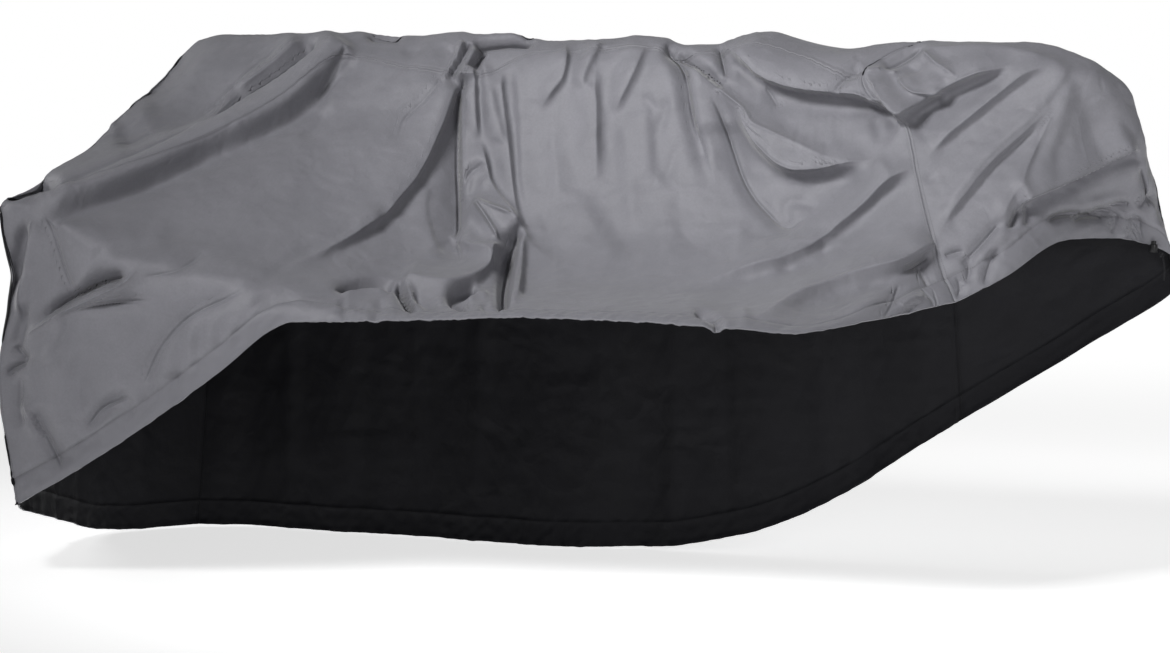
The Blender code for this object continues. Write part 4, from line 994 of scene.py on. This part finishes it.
class Finish:
    """A material and the nodes of its look."""

    def __init__(self, name, **constants):
        self.material = bpy.data.materials.new(name)
        self.material.use_nodes = True
        self.tree = self.material.node_tree
        self.shader = self.tree.nodes["Principled BSDF"]
        for label, value in constants.items():
            self.shader.inputs[label.replace("_", " ")].default_value = value

    def node(self, kind, settings=None, sockets=None, out=0):
        """Adds a node: its settings first, then its sockets' values or links; gives one of its outputs."""
        node = self.tree.nodes.new(kind)
        for label, setting in (settings or {}).items():
            setattr(node, label, setting)
        for label, value in (sockets or {}).items():
            if isinstance(value, Value):
                self.tree.links.new(value.socket, node.inputs[label])
            else:
                node.inputs[label].default_value = value
        return Value(self, node.outputs[out])

    def feed(self, label, value):
        self.tree.links.new(value.socket, self.shader.inputs[label])

    def number(self, label):
        """A number stored on the piece's points."""
        return self.node("ShaderNodeAttribute", {"attribute_name": label}, out="Fac")

    def split(self, vector):
        return [self.node("ShaderNodeSeparateXYZ", None, {0: vector}, out=axis) for axis in "XYZ"]

    def place(self):
        return self.node("ShaderNodeTexCoord", out="Object")

    def noise(self, place, scale, detail=2.0, roughness=0.5, out=0):
        return self.node("ShaderNodeTexNoise", {"noise_dimensions": "3D"},
                         {"Vector": place, "Scale": scale, "Detail": detail, "Roughness": roughness}, out)

    def step(self, value, low, high):
        """0 below low, 1 above high and soft between them."""
        return self.node("ShaderNodeMapRange", {"interpolation_type": "SMOOTHSTEP", "clamp": True},
                         {"Value": value, "From Min": low, "From Max": high})

    def mix(self, share, first, second):
        return self.node("ShaderNodeMix", {"data_type": "RGBA", "blend_type": "MIX"},
                         {0: share, 6: first, 7: second}, out=2)

    def bump(self, height, distance, strength=1.0, before=None):
        sockets = {"Height": height, "Distance": distance, "Strength": strength}
        if before is not None:
            sockets["Normal"] = before
        return self.node("ShaderNodeBump", None, sockets)


def opaque(colour, share=1.0):
    """A colour for a node, or a lighter or darker share of it."""
    return (*(part * share for part in colour), 1.0)


def weave_height(finish, pitch):
    """Threads that pass over and under each other, and the place along and down the cloth."""
    along, down, _ = finish.split(finish.node("ShaderNodeUVMap", {"uv_map": "cloth"}))
    turns = math.pi / pitch
    return (along * turns).sine() * (down * turns).sine(), along, down


def stitch_mask(finish, distance, along, line):
    """1 on the stitches of a row at a set distance from an edge."""
    row = 1 - finish.step(abs(distance - line), STITCH_WIDTH / 2, STITCH_WIDTH)
    return row * finish.step((along * (2 * math.pi / STITCH_LENGTH)).sine(), -0.55, -0.15)


def facet_creases(finish, place):
    """Straight creases that meet in corners, with flat cloth between them, deep in some places only."""
    drift = finish.noise(place, FACET_DRIFT_SCALE, out="Color")
    bent = finish.node("ShaderNodeVectorMath", {"operation": "MULTIPLY_ADD"},
                       {0: drift, 1: (FACET_DRIFT,) * 3, 2: place})
    total = 0.0
    for scale, width, share in FACETS:
        apart = finish.node("ShaderNodeTexVoronoi", {"feature": "DISTANCE_TO_EDGE"},
                            {"Vector": bent, "Scale": scale, "Randomness": 1.0})
        depth = finish.step(finish.noise(place, scale * 0.35, 1.0), 0.42, 0.62)
        total = total + finish.step(apart, 0.0, width) * depth * share
    return total


def cloth_normal(finish, settings, place, weave, thread):
    """The creases, the sharp lines of the folds, the weave and the stitches, one on top of another."""
    creases = abs(finish.noise(place, CREASE_SCALE, 3.0, 0.55) - 0.5).root()
    fine_creases = abs(finish.noise(place, FINE_CREASE_SCALE, 2.0, 0.5) - 0.5).root()
    normal = finish.bump(creases + FINE_CREASE_SHARE * fine_creases, CREASE_DEPTH, settings.crumple)
    normal = finish.bump(facet_creases(finish, place), FACET_DEPTH, settings.crumple, normal)
    near_line = 1 - finish.step(abs(finish.number("line_across")), 0.0, LINE_WIDTH)
    normal = finish.bump(finish.number("line_rise") * near_line * near_line, 1.0, 1.0, normal)
    normal = finish.bump(weave, WEAVE_DEPTH, 0.55, normal)
    return finish.bump(thread, THREAD_HEIGHT, 0.9, normal)


def cloth_finish(name, settings, colour, worn, hem_colour, roughness, sheen, inside=False):
    """Coated cloth: woven, dusty and creased, stitched beside its seams and along its hem band, with painted
    shade in its seam and hem grooves.
    """
    finish = Finish(name, Sheen_Weight=sheen, Sheen_Roughness=0.45, Specular_IOR_Level=0.16 if inside else 0.42)
    place = finish.place()
    weave, along, down = weave_height(finish, settings.thread_pitch)
    seam, hem = finish.number("from_seam"), finish.number("from_hem")
    blotches = finish.noise(place, BLOTCH_SCALE, 3.0, 0.6)
    specks = finish.noise(place, SPECK_SCALE, 2.0, 0.6)
    dust = finish.noise(place, DUST_SCALE, 5.0, 0.65)
    patchy = (blotches - 0.5) * 0.55 + (dust - 0.5) * 0.55 + 0.5
    shade = finish.mix(finish.step(patchy, 0.25, 0.75), opaque(colour), opaque(worn))
    shade = finish.mix((specks - 0.5) * 0.5 + weave * 0.12 + 0.18, shade, opaque(colour, 0.72))
    stitch_line = HEM_BAND - HEM_STITCH_INSIDE
    # the hem band takes the hem's colour: inside, a black tape made darker still as painted shade
    shade = finish.mix(finish.step(stitch_line - hem, -.0006, .0006), shade, opaque(hem_colour))
    thread = stitch_mask(finish, hem, along, stitch_line)
    thread = thread.or_more(stitch_mask(finish, seam, along + down, STITCH_FROM_SEAM))
    # painted shade: the outside is darkened towards half its colour in the seam grooves and in the groove along
    # the hem band's stitch line, where shade falls
    if not inside:
        painted_groove_shade = finish.step(.004 - seam, -.003, .004)
        painted_groove_shade = painted_groove_shade.or_more(finish.step(.0035 - abs(hem - HEM_BAND), -.003, .003))
        shade = finish.mix(painted_groove_shade * 0.18, shade, opaque(colour, 0.5))
    # inside, the stitches are darkened to a tenth of the thread's colour: painted shade, as on the inner face
    shade = finish.mix(thread * 0.85, shade, opaque(settings.thread_colour, 0.1 if inside else 1.0))
    finish.feed("Base Color", shade)
    dullness = roughness + (dust - 0.5) * 0.22 + (specks - 0.5) * 0.10 + thread * 0.2
    finish.feed("Roughness", finish.node("ShaderNodeClamp", None, {"Value": dullness, "Min": 0.2, "Max": 1.0}))
    finish.feed("Normal", cloth_normal(finish, settings, place, weave, thread))
    return finish.material


def plastic_finish(name, colour, roughness):
    """Moulded plastic with a fine grain, paler where it is rubbed."""
    finish = Finish(name, Specular_IOR_Level=0.4)
    place = finish.place()
    grain = finish.noise(place, 900.0, 2.0, 0.6)
    wear = finish.noise(place, 160.0, 3.0, 0.6)
    rubbed = finish.step(wear, 0.5, 0.8) * 0.5
    finish.feed("Base Color", finish.mix(rubbed, opaque(colour), opaque(colour, 2.5)))
    finish.feed("Roughness", roughness + (wear - 0.5) * 0.25)
    finish.feed("Normal", finish.bump(grain, 0.00015, 0.5))
    return finish.material


def braid_finish(name, colour, diameter):
    """A braided cord: strands that cross along its length."""
    finish = Finish(name, Sheen_Weight=0.06, Sheen_Roughness=0.4, Specular_IOR_Level=0.3)
    place = finish.place()
    across, deep, up = finish.split(place)
    turns = 2 * math.pi / (diameter * 0.8)
    level = across + deep
    strands = ((level + up) * turns).sine() * ((level - up) * turns).sine()
    fluff = finish.noise(place, 1500.0, 2.0, 0.7)
    finish.feed("Base Color", finish.mix(finish.step(strands + (fluff - 0.5), -0.6, 0.8), opaque(colour, 0.5),
                                         opaque(colour, 1.9)))
    finish.feed("Roughness", 0.78 + (fluff - 0.5) * 0.2)
    finish.feed("Normal", finish.bump(strands + (fluff - 0.5) * 0.4, 0.0003, 0.8))
    return finish.material


# ---- pieces ----
def place_of(point):
    return Vector(np.array(point) - ORIGIN)


def deselect_all():
    if bpy.context.object and bpy.context.object.mode != "OBJECT":
        bpy.ops.object.mode_set(mode="OBJECT")
    bpy.ops.object.select_all(action="DESELECT")


def choose_only(thing):
    deselect_all()
    thing.select_set(True)
    bpy.context.view_layer.objects.active = thing


def bake_place(thing):
    """Puts a finished piece's place, turn and size into its mesh."""
    choose_only(thing)
    bpy.ops.object.transform_apply(location=True, rotation=True, scale=True)


def choose_faces(thing, wanted):
    """In edit mode, selects the faces that the test picks by their middle and normal."""
    bpy.ops.mesh.select_mode(type="FACE")
    bpy.ops.mesh.select_all(action="DESELECT")
    mesh = bmesh.from_edit_mesh(thing.data)
    for face in mesh.faces:
        face.select_set(bool(wanted(face.calc_center_median(), face.normal)))
    bmesh.update_edit_mesh(thing.data)


def step_face(rim, up):
    """In edit mode, sets the chosen face in by a rim and moves it up, or down below 0."""
    bpy.ops.mesh.inset(thickness=rim)
    bpy.ops.mesh.extrude_region_move(TRANSFORM_OT_translate={"value": (0, 0, up)})


def add_turned(name, middle, radius, depth):
    """A round blank, open in edit mode with nothing selected."""
    deselect_all()
    bpy.ops.mesh.primitive_cylinder_add(vertices=48, radius=radius, depth=depth, location=middle)
    thing = bpy.context.object
    thing.name = name
    bpy.ops.object.mode_set(mode="EDIT")
    bpy.ops.mesh.select_all(action="DESELECT")
    return thing


def round_edges(thing, width, segments=3):
    bpy.ops.object.mode_set(mode="OBJECT")
    bevel = thing.modifiers.new("rounding", "BEVEL")
    bevel.width = width
    bevel.segments = segments
    bevel.limit_method = "ANGLE"
    bevel.angle_limit = math.radians(40)
    bpy.ops.object.modifier_apply(modifier=bevel.name)
    bpy.ops.object.shade_smooth_by_angle(angle=math.radians(35))


@functools.lru_cache(maxsize=None)
def shared_drape(fold_depth):
    return Drape(fold_depth)


@functools.lru_cache(maxsize=None)
def cloth_materials():
    settings = bpy.context.scene.sofa_cover
    outside = cloth_finish("coated_cloth_outside", settings, settings.cloth_colour, settings.worn_colour,
                           settings.cloth_colour, 0.55, 0.22)
    # the inside's colours, and its darkened stitches, are partly painted shade
    inside = cloth_finish("coated_cloth_inside", settings, settings.inner_face_and_shade_colour, settings.worn_inner_face_and_shade_colour,
                          settings.hem_colour, 0.62, 0.05, inside=True)
    return outside, inside


@functools.lru_cache(maxsize=None)
def black_plastic():
    return plastic_finish("black_plastic", bpy.context.scene.sofa_cover.plastic_colour, 0.42)


@functools.lru_cache(maxsize=None)
def black_braid():
    return braid_finish("black_braid", bpy.context.scene.sofa_cover.cord_colour, CORD_DIAMETER)


def add_panel(name):
    drape = shared_drape(round(bpy.context.scene.sofa_cover.fold_depth, 4))
    thing = sheet_object(name, drape, *cloth_materials())
    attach(thing, "root")
    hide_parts(name)
    return thing


class SOFACOVER_OT_front_panel(bpy.types.Operator):
    """Add the low front, lifted on to the seat, with its swags, pleat and puckered hem"""

    bl_idname = "sofacover.front_panel"
    bl_label = "Front panel"

    def execute(self, context):
        add_panel("front_panel")
        return {"FINISHED"}


class SOFACOVER_OT_top_panel(bpy.types.Operator):
    """Add the sloping top between the front and the back"""

    bl_idname = "sofacover.top_panel"
    bl_label = "Top panel"

    def execute(self, context):
        add_panel("top_panel")
        return {"FINISHED"}


class SOFACOVER_OT_back_panel(bpy.types.Operator):
    """Add the high back, hanging in upright folds to the rear hem"""

    bl_idname = "sofacover.back_panel"
    bl_label = "Back panel"

    def execute(self, context):
        add_panel("back_panel")
        return {"FINISHED"}


class SOFACOVER_OT_end_panels(bpy.types.Operator):
    """Add the two ends: the left one hangs down, the right one stands open in a loop"""

    bl_idname = "sofacover.end_panels"
    bl_label = "End panels"

    def execute(self, context):
        add_panel("right_end_panel")
        add_panel("left_end_panel")
        return {"FINISHED"}


class SOFACOVER_OT_cord_lock(bpy.types.Operator):
    """Add the spring toggle: its barrel with a cord hole, and the button that is pressed"""

    bl_idname = "sofacover.cord_lock"
    bl_label = "Cord lock"

    def execute(self, context):
        middle = place_of(LOCK_PLACE)
        barrel = self.barrel(middle)
        self.bore(barrel, middle + Vector((0, 0, HOLE_MIDDLE)))
        round_edges(barrel, BARREL_ROUNDING, 2)
        button = add_turned("lock_button", middle + Vector((0, 0, BUTTON_MIDDLE)), BUTTON_RADIUS, BUTTON_HEIGHT)
        choose_faces(button, lambda place, normal: normal.z > .9)
        for rim, up in BUTTON_STEPS:
            step_face(rim, up)
        round_edges(button, BUTTON_ROUNDING)
        for thing, node in ((barrel, "cord_lock"), (button, "cord_lock_button")):
            thing.data.materials.clear()
            thing.data.materials.append(black_plastic())
            bake_place(thing)
            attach(thing, "root")
            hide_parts(node)
        return {"FINISHED"}

    @staticmethod
    def barrel(middle):
        """The barrel, recessed at its top for the button, drawn in at its waist and hollow at its foot."""
        barrel = add_turned("lock_barrel", middle + Vector((0, 0, BARREL_MIDDLE)), BARREL_RADIUS, BARREL_HEIGHT)
        choose_faces(barrel, lambda place, normal: normal.z > .9)
        step_face(RECESS_RIM, -RECESS_DEPTH)
        for height in (WAIST_TOP, WAIST_FOOT):
            bpy.ops.mesh.select_all(action="SELECT")
            bpy.ops.mesh.bisect(plane_co=(0, 0, middle.z + height), plane_no=(0, 0, 1))
        choose_faces(barrel, lambda place, normal: abs(normal.z) < .5
                     and abs(place.z - middle.z - WAIST_MIDDLE) < .0006
                     and (place.xy - middle.xy).length > .006)
        bpy.ops.transform.resize(value=(WAIST_SHARE, WAIST_SHARE, 1), center_override=tuple(middle))
        choose_faces(barrel, lambda place, normal: normal.z < -.9)
        step_face(FOOT_RIM, FOOT_HOLLOW)
        bpy.ops.object.mode_set(mode="OBJECT")
        return barrel

    @staticmethod
    def bore(barrel, middle):
        """Cuts the cord's hole across the barrel."""
        deselect_all()
        bpy.ops.mesh.primitive_cylinder_add(vertices=24, radius=HOLE_RADIUS, depth=HOLE_LENGTH, location=middle,
                                            rotation=(0, math.radians(90), 0))
        drill = bpy.context.object
        cut = barrel.modifiers.new("cord hole", "BOOLEAN")
        cut.operation = "DIFFERENCE"
        cut.solver = "EXACT"
        cut.object = drill
        choose_only(barrel)
        bpy.ops.object.modifier_apply(modifier=cut.name)
        bpy.data.objects.remove(drill, do_unlink=True)


class SOFACOVER_OT_drawcord(bpy.types.Operator):
    """Add the short tail of the drawcord and its knot under the lock"""

    bl_idname = "sofacover.drawcord"
    bl_label = "Drawcord"

    def execute(self, context):
        knot = self.tied_knot(place_of(KNOT_PLACE))
        tail = self.line("cord_tail", [place_of(point) for point in CORD_ROUTE], CORD_DIAMETER, False)
        for thing, node in ((tail, "drawcord"), (knot, "drawcord_knot")):
            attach(thing, "root")
            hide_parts(node)
        return {"FINISHED"}

    @staticmethod
    def line(name, points, diameter, closed):
        curve = bpy.data.curves.new(name, "CURVE")
        curve.dimensions = "3D"
        curve.bevel_depth = diameter / 2
        curve.bevel_resolution = 4
        curve.use_fill_caps = not closed
        spline = curve.splines.new("POLY")
        spline.points.add(len(points) - 1)
        for point, place in zip(spline.points, points):
            point.co = (*place, 1)
        spline.use_cyclic_u = closed
        curve.materials.append(black_braid())
        thing = bpy.data.objects.new(name, curve)
        bpy.context.scene.collection.objects.link(thing)
        return thing

    def tied_knot(self, middle):
        """An overhand knot pulled tight."""
        turns = np.linspace(0, 2 * math.pi, 72, endpoint=False)
        loops = np.stack((np.sin(turns) + 2 * np.sin(2 * turns), np.cos(turns) - 2 * np.cos(2 * turns),
                          -np.sin(3 * turns)), axis=1) * np.array(KNOT_LOOP)
        knot = self.line("cord_knot", [middle + Vector(point) for point in loops], CORD_DIAMETER * .92, True)
        choose_only(knot)
        bpy.ops.object.convert(target="MESH")
        bpy.ops.object.shade_smooth()
        return bpy.context.object


class SOFACOVER_OT_stage(bpy.types.Operator):
    """Add the pale floor, the soft studio lights and the camera"""

    bl_idname = "sofacover.stage"
    bl_label = "Stage"

    def execute(self, context):
        settings = context.scene.sofa_cover
        deselect_all()
        bpy.ops.mesh.primitive_circle_add(vertices=128, radius=FLOOR_RADIUS, fill_type="NGON",
                                          location=(0, 0, -CARRIED_HEIGHT - .0005))
        floor = bpy.context.object
        floor.name = "floor"
        bake_place(floor)
        floor.data.materials.append(self.floor_finish(settings))
        for light in LIGHTS:
            self.lamp(light, settings)
        self.surround(context.scene, settings.surround)
        camera = bpy.data.cameras.new("camera")
        camera.sensor_width = 36.0
        camera.lens = 36.0 * SIGHT_REACH / PICTURE_WIDTH
        camera.clip_end = 100.0
        holder = bpy.data.objects.new("camera", camera)
        right, up, forward = sight_axes()
        turn = Matrix((right, up, -forward)).transposed().to_4x4()
        holder.matrix_world = Matrix.Translation(place_of(SIGHT_POINT)) @ turn
        context.scene.collection.objects.link(holder)
        context.scene.camera = holder
        return {"FINISHED"}

    @staticmethod
    def surround(scene, brightness):
        """A white surround that lights the cover more softly than it looks."""
        world = bpy.data.worlds.new("studio")
        world.use_nodes = True
        tree = world.node_tree
        background = tree.nodes["Background"]
        background.inputs["Color"].default_value = (1.0, 1.0, 1.0, 1.0)
        seen = tree.nodes.new("ShaderNodeLightPath")
        strength = tree.nodes.new("ShaderNodeMapRange")
        strength.inputs["To Min"].default_value = brightness
        strength.inputs["To Max"].default_value = 1.0
        tree.links.new(seen.outputs["Is Camera Ray"], strength.inputs["Value"])
        tree.links.new(strength.outputs["Result"], background.inputs["Strength"])
        scene.world = world
        scene.view_settings.view_transform = "Standard"

    @staticmethod
    def lamp(light, settings):
        data = bpy.data.lights.new(light.name, "AREA")
        data.shape = "RECTANGLE"
        data.size, data.size_y = light.wide, light.high
        data.energy = light.power * settings.light
        data.spread = math.radians(light.spread)
        lamp = bpy.data.objects.new(light.name, data)
        lamp.location = light.place
        lamp.rotation_mode = "QUATERNION"
        lamp.rotation_quaternion = (Vector(light.aim) - Vector(light.place)).to_track_quat("-Z", "Y")
        bpy.context.scene.collection.objects.link(lamp)

    @staticmethod
    def floor_finish(settings):
        finish = Finish("pale_floor", Roughness=0.85, Specular_IOR_Level=0.2, Emission_Strength=1.0)
        place = finish.place()
        mottle = finish.noise(place, 1.6, 3.0, 0.5)
        away = finish.node("ShaderNodeVectorMath", {"operation": "LENGTH"}, {0: place}, out="Value")
        far = finish.step(away, *FLOOR_FADE)
        near = finish.mix(mottle, opaque(settings.floor_colour), opaque(settings.floor_colour, .985))
        finish.feed("Base Color", finish.mix(far, near, opaque((0, 0, 0))))
        glow = opaque([settings.floor_glow] * 3)
        finish.feed("Emission Color", finish.mix(far, glow, opaque((1, 1, 1))))
        return finish.material


PIECE_OPERATORS = (SOFACOVER_OT_front_panel, SOFACOVER_OT_top_panel, SOFACOVER_OT_back_panel,
                   SOFACOVER_OT_end_panels, SOFACOVER_OT_cord_lock, SOFACOVER_OT_drawcord, SOFACOVER_OT_stage)


class SofaCoverSettings(bpy.types.PropertyGroup):
    """Sizes and colours of the cover"""

    fold_depth: FloatProperty(name="Fold depth", description="Depth of the folds, as a share of the usual",
                              default=1.4, min=0.0, max=2.0, subtype="FACTOR")
    thread_pitch: FloatProperty(name="Thread pitch", description="Distance between two threads of the weave",
                                default=0.0008, min=0.0002, max=0.01, unit="LENGTH", precision=5)
    crumple: FloatProperty(name="Crumple", description="Strength of the fine crumples in the cloth's finish",
                           default=0.35, min=0.0, max=1.0, subtype="FACTOR")
    cloth_colour: FloatVectorProperty(name="Cloth", description="Colour of the coated cloth outside",
                                      default=(0.176, 0.175, 0.196), size=3, min=0, max=1, subtype="COLOR")
    worn_colour: FloatVectorProperty(name="Worn cloth", description="Colour where the cloth is dusty or rubbed",
                                     default=(0.220, 0.218, 0.243), size=3, min=0, max=1, subtype="COLOR")
    # the inner face's colours are partly the dark grey of its coating and partly painted shade: they are set
    # far darker than the coating, to stand for the shade inside the cover
    inner_face_and_shade_colour: FloatVectorProperty(name="Inner face", description="Colour of the cloth's coated inner face",
                                       default=(0.007, 0.007, 0.009), size=3, min=0, max=1, subtype="COLOR")
    worn_inner_face_and_shade_colour: FloatVectorProperty(name="Worn inner face", description="Colour where it is rubbed",
                                            default=(0.012, 0.012, 0.015), size=3, min=0, max=1,
                                            subtype="COLOR")
    # the inner hem's colour is partly its black tape and partly painted shade inside the cover
    hem_colour: FloatVectorProperty(name="Inner hem", description="Colour of the hem's tape inside",
                                    default=(0.004, 0.004, 0.006), size=3, min=0, max=1, subtype="COLOR")
    thread_colour: FloatVectorProperty(name="Thread", description="Colour of the stitches",
                                       default=(0.135, 0.134, 0.148), size=3, min=0, max=1, subtype="COLOR")
    plastic_colour: FloatVectorProperty(name="Cord lock", description="Colour of the moulded cord lock",
                                        default=(0.006, 0.006, 0.007), size=3, min=0, max=1, subtype="COLOR")
    cord_colour: FloatVectorProperty(name="Drawcord", description="Colour of the braided drawcord",
                                     default=(0.007, 0.007, 0.009), size=3, min=0, max=1, subtype="COLOR")
    floor_colour: FloatVectorProperty(name="Floor", description="Colour of the floor",
                                      default=(0.9, 0.9, 0.9), size=3, min=0, max=1, subtype="COLOR")
    floor_glow: FloatProperty(name="Floor glow", description="Light that the floor gives off itself",
                              default=0.68, min=0.0, max=2.0, subtype="FACTOR")
    light: FloatProperty(name="Light", description="Strength of the studio lights, as a share of the usual",
                         default=1.0, min=0.0, max=5.0, subtype="FACTOR")
    surround: FloatProperty(name="Surround", description="Brightness of the white surround",
                            default=0.09, min=0.0, max=5.0, subtype="FACTOR")


class SOFACOVER_PT_sidebar(bpy.types.Panel):
    """Lists the cover's pieces, sizes and colours"""

    bl_label = "Sofa cover"
    bl_idname = "SOFACOVER_PT_sidebar"
    bl_space_type = "VIEW_3D"
    bl_region_type = "UI"
    bl_category = "Sofa cover"

    def draw(self, context):
        for label in SofaCoverSettings.__annotations__:
            self.layout.prop(context.scene.sofa_cover, label)
        for operator in PIECE_OPERATORS:
            self.layout.operator(operator.bl_idname)


CLASSES = (SofaCoverSettings, *PIECE_OPERATORS, SOFACOVER_PT_sidebar)


def register():
    for group in CLASSES:
        bpy.utils.register_class(group)
    bpy.types.Scene.sofa_cover = PointerProperty(type=SofaCoverSettings)


def unregister():
    del bpy.types.Scene.sofa_cover
    for group in reversed(CLASSES):
        bpy.utils.unregister_class(group)


def main():
    register()
    for operator in PIECE_OPERATORS:
        group, name = operator.bl_idname.split(".")
        getattr(getattr(bpy.ops, group), name)()


if __name__ == "__main__":
    main()
